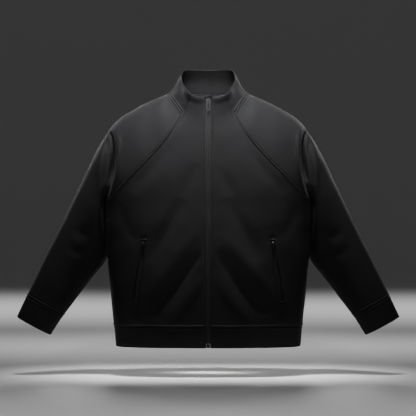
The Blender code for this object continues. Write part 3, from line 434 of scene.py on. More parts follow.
def arm_row(row):
    """A closed section of the arm, from the seam under it round by the front."""
    outer_x, outer_z, inner_x, inner_z, centre_y, half_depth, tuck, lift = ARM[row]
    centre = np.array([(outer_x + inner_x) / 2, centre_y, (outer_z + inner_z) / 2])
    reach = np.array([(outer_x - inner_x) / 2, 0, (outer_z - inner_z) / 2])
    points = []
    for turn in np.linspace(0, 2 * math.pi, SLEEVE_COLUMNS + 1):
        turn += LIFT * lift * (math.sin(turn) + 0.5 * math.sin(2 * turn))
        across, along = math.sin(turn), -math.cos(turn)
        across = math.copysign(abs(across) ** (2 / ARM_SQUARE), across)
        along = math.copysign(abs(along) ** (2 / ARM_SQUARE), along)
        point = centre + along * reach + np.array([0, -across * half_depth, 0])
        point[0] -= tuck * (max(point[1], 0) / TUCK_DEPTH) ** 1.5 * ((1 - along) / 2) ** 2
        points.append(point)
    points[-1] = points[0]
    return np.array(points)


def sleeve_cage():
    rows = [neck_row()] + [cap_row(row) for row in range(len(RAGLAN) - 2, -1, -1)]
    return np.array(rows + [arm_row(row) for row in range(len(ARM))])


def collar_cage():
    """Rows from the neck seam to the top edge, from the front round to the centre back."""
    neck = np.concatenate([neck_row(), back_cage()[-1][-2::-1]])
    top = cubic(COLLAR_TOP, even_places(COLLAR_TOP, len(neck) - 1))
    out = unit(neck * np.array([1, 1, 0]))
    middle = (neck + top) / 2 + out * COLLAR_BULGE
    middle[0] = extension_rows()[1][-1]
    return np.array([neck, middle, top])


CAGES = {"front": front_cage, "back": back_cage, "sleeve": sleeve_cage, "collar": collar_cage}
FACES_OUT = {"front": True, "back": False, "sleeve": False, "collar": True}  # with x = columns, y = rows


# ----- Subdividing the cage -----


def cage_mesh(grids):
    """One mesh of both halves, welded at the seams. A face's material is its panel, its UVs are its place."""
    points, index, faces, places, panels = [], {}, [], [], []

    def vertex(point):
        key = tuple(np.round(point, 5) + 0.0)
        if key not in index:
            index[key] = len(points)
            points.append(point)
        return index[key]

    for number, (name, grid) in enumerate(grids.items()):
        for mirror in (1, -1):
            ids = [[vertex(point) for point in turned(row, mirror)] for row in grid]
            for r in range(len(grid) - 1):
                for c in range(len(grid[0]) - 1):
                    corners = [(r, c), (r, c + 1), (r + 1, c + 1), (r + 1, c)]
                    if FACES_OUT[name] != (mirror > 0):
                        corners.reverse()
                    faces.append([ids[a][b] for a, b in corners])
                    places.append(corners)
                    panels.append(number if mirror > 0 else len(grids) + number)
    mesh = bpy.data.meshes.new("cage")
    mesh.from_pydata([tuple(p) for p in points], [], faces)
    layer = mesh.uv_layers.new(name="place")
    for face, corners in zip(mesh.polygons, places):
        for loop, (r, c) in zip(face.loop_indices, corners):
            layer.data[loop].uv = (c / UV_CELLS, r / UV_CELLS)
    for _ in range(2 * len(grids)):
        mesh.materials.append(None)
    mesh.polygons.foreach_set("material_index", panels)
    return mesh


def subdivided(mesh, levels):
    """The mesh's limit surface: points, faces of four corners, and each face corner's place and panel."""
    helper = bpy.data.objects.new("cage", mesh)
    bpy.context.scene.collection.objects.link(helper)
    smooth = helper.modifiers.new("Subdivision", "SUBSURF")
    smooth.levels = smooth.render_levels = levels
    smooth.uv_smooth = "NONE"
    smooth.use_limit_surface = True
    smooth.boundary_smooth = "PRESERVE_CORNERS"
    smooth.quality = 3
    bpy.context.view_layer.update()
    evaluated = helper.evaluated_get(bpy.context.evaluated_depsgraph_get())
    fine = evaluated.to_mesh()
    points = np.empty(len(fine.vertices) * 3, np.float32)
    fine.vertices.foreach_get("co", points)
    corners = np.empty(len(fine.loops), np.int32)
    fine.loops.foreach_get("vertex_index", corners)
    places = np.empty(len(fine.loops) * 2, np.float32)
    fine.uv_layers["place"].data.foreach_get("uv", places)
    panels = np.empty(len(fine.polygons), np.int32)
    fine.polygons.foreach_get("material_index", panels)
    evaluated.to_mesh_clear()
    bpy.data.objects.remove(helper)
    return (
        points.reshape(-1, 3).astype(float),
        corners.reshape(-1, 4),
        places.reshape(-1, 2),
        np.repeat(panels, 4),
    )


def relaxed(points, faces, shares, times):
    """The points moved towards the middle of their neighbours, each by its share, a number of times."""
    pairs = np.concatenate([faces[:, [k, (k + 1) % 4]] for k in range(4)])
    pairs = np.unique(np.sort(pairs, axis=1), axis=0)
    count = np.bincount(pairs.ravel(), minlength=len(points))[:, None]
    for _ in range(times):
        total = np.zeros_like(points)
        np.add.at(total, pairs[:, 0], points[pairs[:, 1]])
        np.add.at(total, pairs[:, 1], points[pairs[:, 0]])
        points = points + shares[:, None] * (total / count - points)
    return points


def vertex_normals(points, faces):
    a, b, c, d = (points[faces[:, k]] for k in range(4))
    across = np.cross(c - a, d - b)
    total = np.zeros_like(points)
    for k in range(4):
        np.add.at(total, faces[:, k], across)
    return unit(total)


EVEN_FROM, EVEN_TO, EVEN_FADE = -0.40, -0.25, 0.06  # heights between which the torso is evened out
EVEN_FROM_SEAM = 0.018  # how far from the raglan seams that begins


def evened(points, faces, panels):
    """The points of the body moved onto the torso's exact form around the armpits' height."""
    names = np.array(list(CAGES))[panels.reshape(-1, 4)[:, 0] % len(CAGES)]
    body = np.unique(faces[np.isin(names, ("front", "back"))])
    seam = np.intersect1d(body, faces[names == "sleeve"])
    body = body[np.abs(points[body, 2] - (EVEN_FROM + EVEN_TO) / 2) < (EVEN_TO - EVEN_FROM) / 2 + EVEN_FADE]
    from_seam = nearest(points[body], points[seam])[0]
    moved = points.copy()
    for index, far in zip(body, from_seam):
        x, y, z = points[index]
        middle, side = middle_y(z), 1 if y > middle_y(z) else -1
        deep = torso_depth(0.0, z, side) * arch_share(abs(x), z)
        power = torso_power(z)
        wide = abs(x) / torso_size("half_width", z)
        size = (wide**power + (abs(y - middle) / deep) ** power) ** (1 / power)
        past = max(EVEN_FROM - z, z - EVEN_TO, 0)
        weight = min(far / EVEN_FROM_SEAM, 1) * max(1 - past / EVEN_FADE, 0)
        weight *= weight * (3 - 2 * weight)
        scale = 1 + weight * (1 / size - 1)
        moved[index, 0], moved[index, 1] = x * scale, middle + (y - middle) * scale
    return moved


def smooth_panels():
    """Each panel's points and normals on the smooth surface, as grids STEPS times finer than the cage."""
    grids = {name: make() for name, make in CAGES.items()}
    mesh = cage_mesh(grids)
    wanted = np.array([v.co for v in mesh.vertices])
    cage = wanted.copy()
    for _ in range(CAGE_FITS):
        reached = subdivided(mesh, 1)[0][: len(cage)]
        cage += wanted - reached
        mesh.vertices.foreach_set("co", cage.ravel())
        mesh.update()
    points, faces, places, panels = subdivided(mesh, LEVELS)
    points = evened(points, faces, panels)
    away = np.minimum(*(np.linalg.norm(points - turned(armpit(), side), axis=1) for side in (1, -1)))
    points = relaxed(points, faces, ARMPIT_SHARE * np.clip(1 - away / ARMPIT_ROUND, 0, 1), ARMPIT_TIMES)
    normals, corners = vertex_normals(points, faces), faces.ravel()
    made = {}
    for number, (name, grid) in enumerate(grids.items()):
        mine = panels == number
        c, r = np.round(places[mine] * UV_CELLS * STEPS).astype(int).T
        shape = ((len(grid) - 1) * STEPS + 1, (len(grid[0]) - 1) * STEPS + 1, 3)
        at, out = np.zeros(shape), np.zeros(shape)
        at[r, c], out[r, c] = points[corners[mine]], normals[corners[mine]]
        made[name] = (at, out)
    bpy.data.meshes.remove(mesh)
    return made


def sampled(panel, rows, columns):
    """Points and normals of a panel at rows and columns counted in the cage's. Each row may have columns of
    its own."""
    found = []
    for grid in panel:
        across = cubic(grid, np.asarray(rows) * STEPS)
        if np.ndim(columns) == 1:
            taken = cubic(across.swapaxes(0, 1), np.asarray(columns) * STEPS).swapaxes(0, 1)
        else:
            taken = np.array([cubic(line, np.asarray(c) * STEPS) for line, c in zip(across, columns)])
        found.append(taken)
    return found[0], unit(found[1])


# How far the collar's top edge sags beside the zip, in puckers: (x, fall)
EDGE_FALLS = (
    (0.0065, 0.0074),
    (0.0110, 0.0044),
    (0.0150, 0.0052),
    (0.0190, 0.0066),
    (0.0270, 0.0084),
    (0.0310, 0.0066),
    (0.0360, 0.0058),
    (0.0430, 0.0046),
    (0.0500, 0.0028),
    (0.0600, 0.0008),
    (0.0680, 0.0),
)
FALL_REACH = 0.034  # how far below the edge the cloth moves with it


def sagged(panels):
    """The front and collar panels with the sag of their top edge."""
    xs, falls = np.array(EDGE_FALLS).T
    for name in ("front", "collar"):
        points, normals = panels[name]
        share = np.clip(1 - nearest(points, dense(points[-1]))[0] / FALL_REACH, 0, 1) ** 1.5
        points = points.copy()
        points[..., 2] -= share * np.interp(np.abs(points[..., 0]), xs, falls) * (points[..., 1] < 0)
        panels[name] = (points, normals)


# ----- Close sampling of the panels -----

# Distances from a seam at which the cloth is sampled, closest where its ridges and grooves are
SEAM_STEPS = (0, 0.4, 0.8, 1.3, 1.9, 2.6, 3.4, 4.2, 5.1, 5.9, 6.5, 7.1, 7.7, 8.2, 8.7, 9.4, 10.6, 12.6, 15)
SEAM_STEPS = np.array(SEAM_STEPS) / 1000
FOLD_STEPS = np.array([0, 0.12, 0.35, 0.7, 1.1, 1.5, 2.2, 3.2, 4.6, 6.5]) / 1000  # from a folded edge
BAND_STEPS = SEAM_STEPS[:16]  # on a doubled band
CENTRE = np.array([0.0])  # from the middle line, where there is no seam
SLOT_HALF = SLOT_WIDTH / 2
SLOT_STEPS = SLOT_HALF + np.array([0, 0.4, 0.9, 1.6, 2.4, 3.3, 4.3, 5.6]) / 1000
SLOT_INSIDE = np.array([-0.0042, -0.0014, 0.0014, 0.0042])
# Steps between the sampled rows, in rows of the cage
BODY_STEP, SLEEVE_STEP, COLLAR_STEP, CUFF_STEP, HEM_STEP = 0.115, 0.13, 0.13, 0.08, 0.09
ARMHOLE_STEP, ZIP_STEP, POCKET_ZIP_STEP = 0.06, 0.09, 0.06
# Even columns between the close ones at the seams
FRONT_EVEN, BACK_EVEN, SLEEVE_EVEN, HEM_EVEN, COLLAR_EVEN = 46, 52, 84, 56, 64
# The columns along which distances are measured: near the hem and cuffs, at the top of the fronts and back,
# and over the shoulder
LOW_COLUMN, TOP_COLUMN, SHOULDER_COLUMN = 3, 2, 5
BEFORE_SLOT = 0.42  # share of the even columns that lie between the zip and the slot
NARROW = 0.22  # length of a row below which the columns beside the slot's line are drawn together


def rows_at(panel, column, start, distances):
    """Rows at distances from the start row along a column, counted down the rows where they are negative."""
    line = panel[0][:, int(column * STEPS)]
    run, rows = run_of(line), np.arange(len(line)) / STEPS
    return np.interp(np.interp(start, rows, run) + np.asarray(distances), run, rows)


def rows_near(panel, *seams):
    """The close rows beside seams and edges, each given by its column, its row and the distances from it."""
    return [rows_at(panel, *seam) for seam in seams]


def filled(close, first, last, step):
    """The close rows with even ones between them wherever they are more than a step apart."""
    close = np.unique(np.concatenate([[first, last], *close]))
    rows = [close[0]]
    for value in close[1:]:
        count = max(int(round((value - rows[-1]) / step)), 1)
        rows += list(np.linspace(rows[-1], value, count + 1)[1:])
    return np.array(rows)


def columns_by_distance(panel, rows, last, start_steps, end_steps, count, line_column=None):
    """For each row, columns at given distances from both its ends and count even ones between. With a line's
    column, the columns beside the pocket's line as well, drawn together where the row is short."""
    lines = cubic(panel[0], np.asarray(rows) * STEPS)
    columns = np.arange(lines.shape[1]) / STEPS
    reach = columns <= last
    found = []
    for line in lines:
        run = run_of(line[reach])
        start, end = start_steps, run[-1] - end_steps[::-1]
        if line_column is None:
            places = [start, np.linspace(start[-1], end[0], count + 2)[1:-1], end]
        else:
            beside = np.concatenate([-SLOT_STEPS[::-1], SLOT_INSIDE, SLOT_STEPS]) * min(run[-1] / NARROW, 1)
            beside += float(np.interp(line_column, columns[reach], run))
            before = int(round(count * BEFORE_SLOT))
            inner = np.linspace(start[-1], beside[0], before + 2)[1:-1]
            outer = np.linspace(beside[-1], end[0], count - before + 2)[1:-1]
            places = [start, inner, beside, outer, end]
        found.append(np.interp(np.concatenate(places), run, columns[reach]))
    return np.array(found)


# ----- Seams, folds and creases, as heights above the smooth cloth -----

# A seam's profile on one side: (distance from the seam, half width, height) of each ridge or groove
GROOVE = (0.0, 0.0009, -0.0008)
PRESSED = (GROOVE, (0.0032, 0.0019, 0.0007))  # the side that the allowances are pressed to
RAGLAN_SIDE = ((0.0, 0.0012, -0.0014), (0.0036, 0.0018, 0.0015), (0.0078, 0.0018, -0.0005))
PLAIN = (GROOVE, (0.0030, 0.0020, -0.0001))
BAND_ABOVE = (GROOVE, (0.0040, 0.0022, 0.0013), (0.0082, 0.0007, -0.0007), (0.0105, 0.0018, 0.0003))
BAND_BELOW = (GROOVE, (0.0032, 0.0020, 0.0008))
OPEN_SIDE = ((0.0, 0.0011, 0.0009), (0.0034, 0.0015, -0.0007))
COLLAR_SIDE = (GROOVE, (0.0030, 0.0018, 0.0009), (0.0068, 0.0016, -0.0004))
NECK_SIDE = (GROOVE, (0.0034, 0.0017, 0.0012), (0.0071, 0.0008, -0.0007), (0.0095, 0.0018, 0.0003))
ZIP_SIDE = ((0.0028, 0.0020, 0.0006), (0.0065, 0.0006, -0.0006), (0.0090, 0.0018, 0.0002))
SLOT_SIDE = ((0.0018, 0.0013, 0.0008), (0.0046, 0.0007, -0.0005))


def profile(distance, shape):
    height = np.zeros(distance.shape)
    for middle, half, rise in shape:
        height += rise * np.exp(-(((distance - middle) / half) ** 2))
    return height


# Creases, in millimetres: the side, -1 for the front and 1 for the back, points of the course as x and z,
# half width at its start and end, and height
CREASES = (
    (-1, ((-20, -418), (-80, -500), (-147, -588)), 9, 17, -6),
    (-1, ((-12, -480), (-50, -535), (-92, -592)), 12, 14, 2.6),
    (-1, ((-22, -350), (-98, -452), (-178, -560)), 16, 22, 3.4),
    (-1, ((-62, -285), (-118, -380), (-150, -450)), 18, 20, -4),
    (-1, ((-26, -190), (-62, -262), (-88, -330)), 16, 20, -2.6),
    (-1, ((-100, -140), (-150, -205), (-200, -262)), 14, 18, -2.6),
    (-1, ((-205, -552), (-192, -580), (-180, -606)), 12, 12, -3.2),
    (-1, ((-232, -290), (-214, -350), (-186, -392)), 14, 12, -2.2),
    (-1, ((-256.5, -94), (-247.2, -122), (-244, -150), (-246.2, -186), (-249.8, -220)), 2.2, 2.4, 4.2),
    (-1, ((-262.5, -100), (-253.2, -124), (-250.2, -150), (-253, -190), (-258, -240)), 4.2, 4.2, -20),
    (-1, ((-274, -112), (-266, -130), (-263, -156), (-266, -196), (-271, -244)), 10, 13, -6),
    (-1, ((256.5, -92), (247, -120), (244.2, -150), (246.4, -186), (250, -218)), 2.2, 2.4, 4.2),
    (-1, ((262.5, -98), (253, -122), (250.4, -150), (253.2, -188), (258.2, -236)), 4.2, 4.2, -20),
    (-1, ((274, -110), (266, -128), (263.2, -156), (266.4, -194), (271.4, -242)), 10, 13, -6),
    (-1, ((24, -412), (74, -492), (146, -592)), 10, 17, -5.8),
    (-1, ((14, -470), (50, -530), (98, -596)), 12, 14, 2.6),
    (-1, ((20, -360), (104, -452), (186, -556)), 16, 22, 3.4),
    (-1, ((44, -280), (104, -382), (136, -440)), 18, 20, -4.2),
    (-1, ((24, -196), (60, -262), (84, -322)), 16, 20, -2.4),
    (-1, ((98, -142), (150, -210), (202, -266)), 14, 18, -2.6),
    (-1, ((206, -556), (196, -582), (186, -606)), 12, 12, -3),
    (-1, ((234, -292), (216, -346), (192, -388)), 14, 12, -2.2),
    (1, ((-198, -250), (-150, -330), (-128, -450)), 18, 26, 3.6),
    (1, ((-222, -300), (-190, -380), (-170, -500)), 14, 22, -4),
    (1, ((-60, -330), (-94, -440), (-150, -560)), 16, 24, -3.4),
    (1, ((-30, -90), (-60, -170), (-50, -270)), 16, 26, -2.2),
    (1, ((194, -246), (152, -334), (134, -440)), 18, 26, 3.6),
    (1, ((224, -306), (194, -386), (166, -508)), 14, 22, -4),
    (1, ((52, -340), (98, -446), (142, -552)), 16, 24, -3.4),
    (1, ((34, -94), (56, -176), (58, -276)), 16, 26, -2.2),
    (1, ((40, -440), (0, -500), (-50, -580)), 16, 22, 2.6),
    (-1, ((-296, -356), (-330, -372), (-356, -356)), 10, 12, -2.4),
    (-1, ((-318, -414), (-348, -420), (-378, -398)), 10, 14, -2),
    (-1, ((298, -360), (332, -376), (358, -360)), 10, 12, -2.4),
    (-1, ((320, -420), (350, -424), (380, -404)), 10, 14, -2),
    (1, ((-300, -330), (-350, -330), (-380, -290)), 12, 14, -2.8),
    (1, ((-330, -400), (-370, -395), (-410, -360)), 12, 14, -2.6),
    (1, ((300, -334), (350, -336), (380, -296)), 12, 14, -2.8),
    (1, ((330, -406), (370, -400), (410, -366)), 12, 14, -2.6),
)
# The same, each also mirrored in the other half
CREASE_PAIRS = (
    (-1, ((4, -16), (30, -14), (62, -4)), 34, 34, 6),
    (-1, ((4, -20), (27, -20), (43, -12), (62, 6)), 9.8, 10, 8.8),
    (-1, ((79, 52), (77, 26), (74, -2)), 6, 9, 2.4),
    (-1, ((64, 20), (58, -6), (56, -34)), 8, 11, -3.2),
    (-1, ((179, -383.5), (168, -382), (159, -383.5)), 1.7, 1.7, -3),
)
CREASE_TAPER = 0.7  # exponent of how they fade towards both ends
CREASE_FACING = 1.6  # how far round the sides they reach


def all_creases():
    yield from CREASES
    for side, course, *sizes in CREASE_PAIRS:
        for mirror in (1, -1):
            yield side, [(mirror * x, z) for x, z in course], *sizes


def creased(points, normals):
    """The height of the creases that cross each point."""
    height = np.zeros(points.shape[:-1])
    for side, course, start, end, rise in all_creases():
        line = cubic(np.array(course) / 1000, np.linspace(0, len(course) - 1, 30))
        far, where = nearest(points[..., [0, 2]], dense(line, 0.002))
        width = (start + (end - start) * where) / 1000
        taper = np.sin(math.pi * np.clip(where, 0, 1)) ** CREASE_TAPER
        facing = np.clip(CREASE_FACING * side * normals[..., 1], 0, 1)
        height += rise / 1000 * taper * facing * np.exp(-((far / width) ** 2))
    return height


# Slow unevenness of the cloth: (x, y and z turns per metre, phase, height)
WAVES = (
    (9.0, 4.0, 6.0, 0.4, 0.00016),
    (-7.0, 6.0, 10.0, 2.1, 0.00016),
    (14.0, -5.0, -11.0, 4.4, 0.00010),
    (-17.0, 9.0, -6.0, 1.3, 0.00008),
    (23.0, 11.0, 17.0, 5.2, 0.00005),
)


def uneven(points):
    height = np.zeros(points.shape[:-1])
    for x, y, z, phase, rise in WAVES:
        height += rise * np.sin(2 * math.pi * (points @ np.array([x, y, z])) + phase)
    return height


def seamed(points, seams):
    """The height of the seams that pass near each point. seams pairs each dense line with its profile."""
    return sum(profile(nearest(points, line)[0], shape) for line, shape in seams)


def body_height(points, normals):
    return uneven(points) + creased(points, normals)


# ----- Meshes -----


def wall_mesh(outer, inner, faces_out, kept=None, joined_from=None):
    """Points and faces of a wall between two grids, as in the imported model."""
    rows, columns = outer.shape[:2]
    ids = np.arange(rows * columns).reshape(rows, columns)
    if joined_from is not None:
        ids[joined_from:, -1] = ids[joined_from:, 0]
    quads = np.stack([ids[:-1, :-1], ids[:-1, 1:], ids[1:, 1:], ids[1:, :-1]], axis=-1)
    quads = quads.reshape(-1, 4) if kept is None else quads[kept]
    if not faces_out:
        quads = quads[:, ::-1]
    far = rows * columns
    edges = np.concatenate([quads[:, [k - 1, k]] for k in range(4)])
    there = edges[:, 0] * far + edges[:, 1]
    border = edges[~np.isin(edges[:, 1] * far + edges[:, 0], there)]
    rims = np.stack([border[:, 1], border[:, 0], border[:, 0] + far, border[:, 1] + far], axis=1)
    faces = np.concatenate([quads, quads[:, ::-1] + far, rims])
    points = np.concatenate([outer.reshape(-1, 3), inner.reshape(-1, 3)])
    used, places = np.unique(faces, return_inverse=True)
    return points[used], places.reshape(faces.shape)


SHARP_FROM = math.radians(50)
ROLL_SHARE = 0.94  # of a full half circle, so that a folded edge keeps a face


def tube_faces(rings, around):
    """Numbers of the points of a tube of rings, a row for each ring, and its faces."""
    ids = np.arange(rings * around).reshape(-1, around)
    nexts = np.roll(ids, -1, axis=1)
    return ids, np.stack([ids[:-1], nexts[:-1], nexts[1:], ids[1:]], axis=-1).reshape(-1, 4)


def smooth_object(name, points, faces, material):
    mesh = bpy.data.meshes.new(name)
    mesh.from_pydata(points, [], faces)
    mesh.update()
    mesh.shade_smooth()
    mesh.materials.append(material)
    obj = bpy.data.objects.new(name, mesh)
    bpy.context.scene.collection.objects.link(obj)
    return obj


def piece(name, node, points, faces, material, slot):
    """A finished mesh object that rides on the jacket in place of a node."""
    obj = smooth_object(name, points.tolist(), faces.tolist(), material)
    obj.data.set_sharp_from_angle(angle=SHARP_FROM)
    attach(obj, "jacket")
    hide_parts(node)
    return obj


def rolled(distance, thick):
    """How far both faces draw in beside a folded edge, so that it is round."""
    radius = thick / 2
    share = 1 - np.clip(distance / radius, 0, 1)
    return radius * (1 - np.sqrt(1 - share**2)) * ROLL_SHARE


def cloth(name, grid, height, thick, faces_out, folds=(), kept=None, joined_from=None):
    """A panel's wall in place of its node. folds are dense lines along its folded edges."""
    points, normals = grid
    outer = points + normals * height[..., None]
    inner = outer - normals * thick
    for line in folds:
        draw = rolled(nearest(points, line)[0], thick)[..., None] * normals
        outer, inner = outer - draw, inner + draw
    wall = wall_mesh(outer, inner, faces_out, kept, joined_from)
    return piece(name + "_cloth", name, *wall, KNIT, "black_knit"), outer


# ----- The pieces of cloth -----


def line_of(panel, rows, columns):
    """A line of points along a panel's row or column. One of rows and columns is a single value."""
    points = sampled(panel, np.atleast_1d(rows), np.atleast_1d(columns))[0]
    return points.reshape(-1, 3)


def seam_lines(panels):
    """The seams and edges of the +X half, as dense lines."""
    front, sleeve, collar, back = (panels[name] for name in ("front", "sleeve", "collar", "back"))
    front_across = np.linspace(0, FRONT_COLUMNS, 60)
    back_across = np.linspace(0, BACK_COLUMNS, 60)
    round_arm = np.linspace(0, SLEEVE_COLUMNS, 90)
    raglan = np.linspace(ARMPIT_ROW, NECK_ROW, 90)
    top = NECK_ROW + COLLAR_ROWS
    found = {
        "hem_front": line_of(front, 1, front_across),
        "hem_back": line_of(back, 1, back_across),
        "side": line_of(front, np.linspace(1, ARMPIT_ROW, 60), FRONT_COLUMNS),
        "raglan_front": line_of(front, raglan, FRONT_COLUMNS),
        "raglan_back": line_of(back, raglan, BACK_COLUMNS),
        "under_arm": line_of(sleeve, np.linspace(ARMHOLE_SECTION, CUFF_SECTION, 90), 0),
        "cuff": line_of(sleeve, CUFF_SECTION, round_arm),
        "neck_sleeve": line_of(sleeve, 0, np.linspace(0, SLEEVE_COLUMNS, 60)),
        "neck_back": line_of(back, NECK_ROW, np.linspace(0, BACK_COLUMNS, 40)),
        "collar_front": line_of(collar, np.linspace(0, COLLAR_ROWS, 30), 0),
        "zip": line_of(front, np.linspace(1, top, 160), 0),
        "collar_top_front": line_of(front, top, np.linspace(0, FRONT_COLUMNS, 40)),
        "collar_top": line_of(collar, COLLAR_ROWS, np.linspace(0, SLEEVE_COLUMNS + BACK_COLUMNS, 90)),
        "hem_edge_front": line_of(front, 0, front_across),
        "hem_edge_back": line_of(back, 0, back_across),
        "hem_end": line_of(front, np.linspace(0, 1, 20), 0),
        "cuff_edge": line_of(sleeve, CUFF_SECTION + 1, round_arm),
    }
    return {name: dense(line) for name, line in found.items()}


def all_of(lines, *names):
    """The named lines of both halves as one set of points."""
    return np.concatenate([turned(lines[name], mirror) for name in names for mirror in (1, -1)])


def closest(rows, row):
    """The number of the sampled row that lies closest to a given one."""
    return int(np.abs(rows - row).argmin())


def row_beside(panel, rows, column, seam_row, distance):
    """The number of the sampled row that lies a distance from a seam."""
    return closest(rows, rows_at(panel, column, seam_row, [distance])[0])


def slot_rows(front):
    """The rows at the bottom and top of the pocket's slot."""
    line = front[0][:, POCKET_COLUMN * STEPS, 2]
    rows = np.arange(len(line)) / STEPS
    below = rows <= ARMPIT_ROW
    return tuple(float(np.interp(z, line[below], rows[below])) for z in (POCKET_BOTTOM[1], POCKET_TOP[1]))


def slot_outline(front):
    """The edge of the pocket's slot, as a closed line."""
    bottom, top = slot_rows(front)
    rows = np.linspace(bottom, top, 50)
    sides = []
    for across in (-SLOT_HALF, SLOT_HALF):
        columns = [[POCKET_COLUMN + columns_from_slot(front, row, across)] for row in rows]
        sides.append(sampled(front, rows, columns)[0][:, 0])
    return dense(np.concatenate([sides[0], sides[1][::-1], sides[0][:1]]))


def columns_from_slot(front, row, distance):
    """How many columns a distance beside the pocket's line comes to at a row."""
    line = cubic(front[0], [row * STEPS])[0]
    near = POCKET_COLUMN * STEPS
    return distance / (np.linalg.norm(line[near + 2] - line[near - 2]) / 4 * STEPS)


def on_both_sides(grid, seams):
    """For each side: its name, the sign of its x, its grid, and its height over the smooth cloth."""
    seam_height = seamed(grid[0], seams)
    for side, mirror in SIDES:
        points, normals = (turned(part, mirror) for part in grid)
        yield side, mirror, (points, normals), body_height(points, normals) + seam_height


def make_fronts(panels, lines):
    front, last = panels["front"], NECK_ROW + COLLAR_ROWS
    ends = slot_rows(front)
    near_slot = SLOT_STEPS[1:] - SLOT_HALF
    close = rows_near(front, (LOW_COLUMN, 1, SEAM_STEPS), (TOP_COLUMN, last, -FOLD_STEPS))
    close += [ends, [ARMPIT_ROW, NECK_ROW]]
    close += [rows_at(front, POCKET_COLUMN, end, sign * near_slot) for end in ends for sign in (-1, 1)]
    rows = filled(close, 1, last, BODY_STEP)
    steps = SEAM_STEPS, SEAM_STEPS
    columns = columns_by_distance(front, rows, FRONT_COLUMNS, *steps, FRONT_EVEN, POCKET_COLUMN)
    grid = sampled(front, rows, columns)
    first = len(SEAM_STEPS) + int(round(FRONT_EVEN * BEFORE_SLOT)) + len(SLOT_STEPS) - 1
    kept = np.ones((len(rows) - 1, columns.shape[1] - 1), bool)
    low, high = (closest(rows, end) for end in ends)
    kept[low:high, first : first + len(SLOT_INSIDE) + 1] = False
    seams = [
        (lines["hem_front"], BAND_ABOVE),
        (lines["side"], PRESSED),
        (lines["raglan_front"], RAGLAN_SIDE),
        (lines["collar_front"], OPEN_SIDE),
        (lines["zip"], ZIP_SIDE),
        (slot_outline(front), SLOT_SIDE),
    ]
    beside_zip = closest(SEAM_STEPS, ZIP_SIDE[1][0])
    above_hem = row_beside(front, rows, LOW_COLUMN, 1, BAND_ABOVE[2][0])
    for side, mirror, half, height in on_both_sides(grid, seams):
        folds = [turned(lines[name], mirror) for name in ("zip", "collar_top_front")]
        obj, outer = cloth(f"front_{side}", half, height, CLOTH, mirror > 0, folds, kept)
        for stitches in ((slice(above_hem, None), beside_zip), (above_hem, slice(beside_zip, None))):
            STITCHED.append((outer[stitches], half[1][stitches]))


def both_halves(grid):
    """A half grid from the centre out, joined to its mirror image."""
    return [np.concatenate([turned(part[:, ::-1], -1), part[:, 1:]], axis=1) for part in grid]


def make_back(panels, lines):
    back = panels["back"]
    close = rows_near(back, (LOW_COLUMN, 1, SEAM_STEPS), (TOP_COLUMN, NECK_ROW, -SEAM_STEPS))
    close.append([ARMPIT_ROW])
    rows = filled(close, 1, NECK_ROW, BODY_STEP)
    columns = columns_by_distance(back, rows, BACK_COLUMNS, CENTRE, SEAM_STEPS, BACK_EVEN)
    points, normals = both_halves(sampled(back, rows, columns))
    shapes = {"hem_back": BAND_ABOVE, "side": PLAIN, "raglan_back": RAGLAN_SIDE, "neck_back": NECK_SIDE}
    seams = [(turned(lines[name], mirror), shape) for mirror in (1, -1) for name, shape in shapes.items()]
    height = body_height(points, normals) + seamed(points, seams)
    obj, outer = cloth("back", (points, normals), height, CLOTH, False)
    above_hem = row_beside(back, rows, LOW_COLUMN, 1, BAND_ABOVE[2][0])
    below_neck = row_beside(back, rows, TOP_COLUMN, NECK_ROW, -NECK_SIDE[2][0])
    for row in (above_hem, below_neck):
        STITCHED.append((outer[row], normals[row]))


def make_sleeves(panels, lines):
    sleeve = panels["sleeve"]
    close = rows_near(sleeve, (SHOULDER_COLUMN, 0, SEAM_STEPS), (LOW_COLUMN, CUFF_SECTION, -SEAM_STEPS))
    close.append(np.arange(ARMHOLE_SECTION - 2, ARMHOLE_SECTION + 1.5, ARMHOLE_STEP))
    rows = filled(close, 0, CUFF_SECTION, SLEEVE_STEP)
    columns = columns_by_distance(sleeve, rows, SLEEVE_COLUMNS, SEAM_STEPS, SEAM_STEPS, SLEEVE_EVEN)
    grid = sampled(sleeve, rows, columns)
    tube = int(np.searchsorted(rows, ARMHOLE_SECTION))  # the row from which the sleeve is closed
    shapes = {
        "neck_sleeve": NECK_SIDE,
        "raglan_front": PLAIN,
        "raglan_back": PLAIN,
        "cuff": BAND_ABOVE,
        "under_arm": (GROOVE,),
    }
    seams = [(lines[name], shape) for name, shape in shapes.items()]
    below_neck = row_beside(sleeve, rows, SHOULDER_COLUMN, 0, NECK_SIDE[2][0])
    above_cuff = row_beside(sleeve, rows, LOW_COLUMN, CUFF_SECTION, -BAND_ABOVE[2][0])
    for side, mirror, half, height in on_both_sides(grid, seams):
        height[tube:, -1] = height[tube:, 0]
        obj, outer = cloth(f"sleeve_{side}", half, height, CLOTH, mirror < 0, joined_from=tube)
        for row in (below_neck, above_cuff):
            STITCHED.append((outer[row], half[1][row]))


def make_cuffs(panels, lines):
    sleeve, last = panels["sleeve"], CUFF_SECTION + 1
    close = rows_near(sleeve, (LOW_COLUMN, CUFF_SECTION, BAND_STEPS), (LOW_COLUMN, last, -FOLD_STEPS))
    rows = filled(close, CUFF_SECTION, last, CUFF_STEP)
    grid = sampled(sleeve, rows, np.linspace(0, SLEEVE_COLUMNS, 91))
    for side, mirror, half, height in on_both_sides(grid, [(lines["cuff"], BAND_BELOW)]):
        height[:, -1] = height[:, 0]
        folds = [turned(lines["cuff_edge"], mirror)]
        obj, _ = cloth(f"cuff_{side}", half, height, BAND, mirror < 0, folds, joined_from=0)


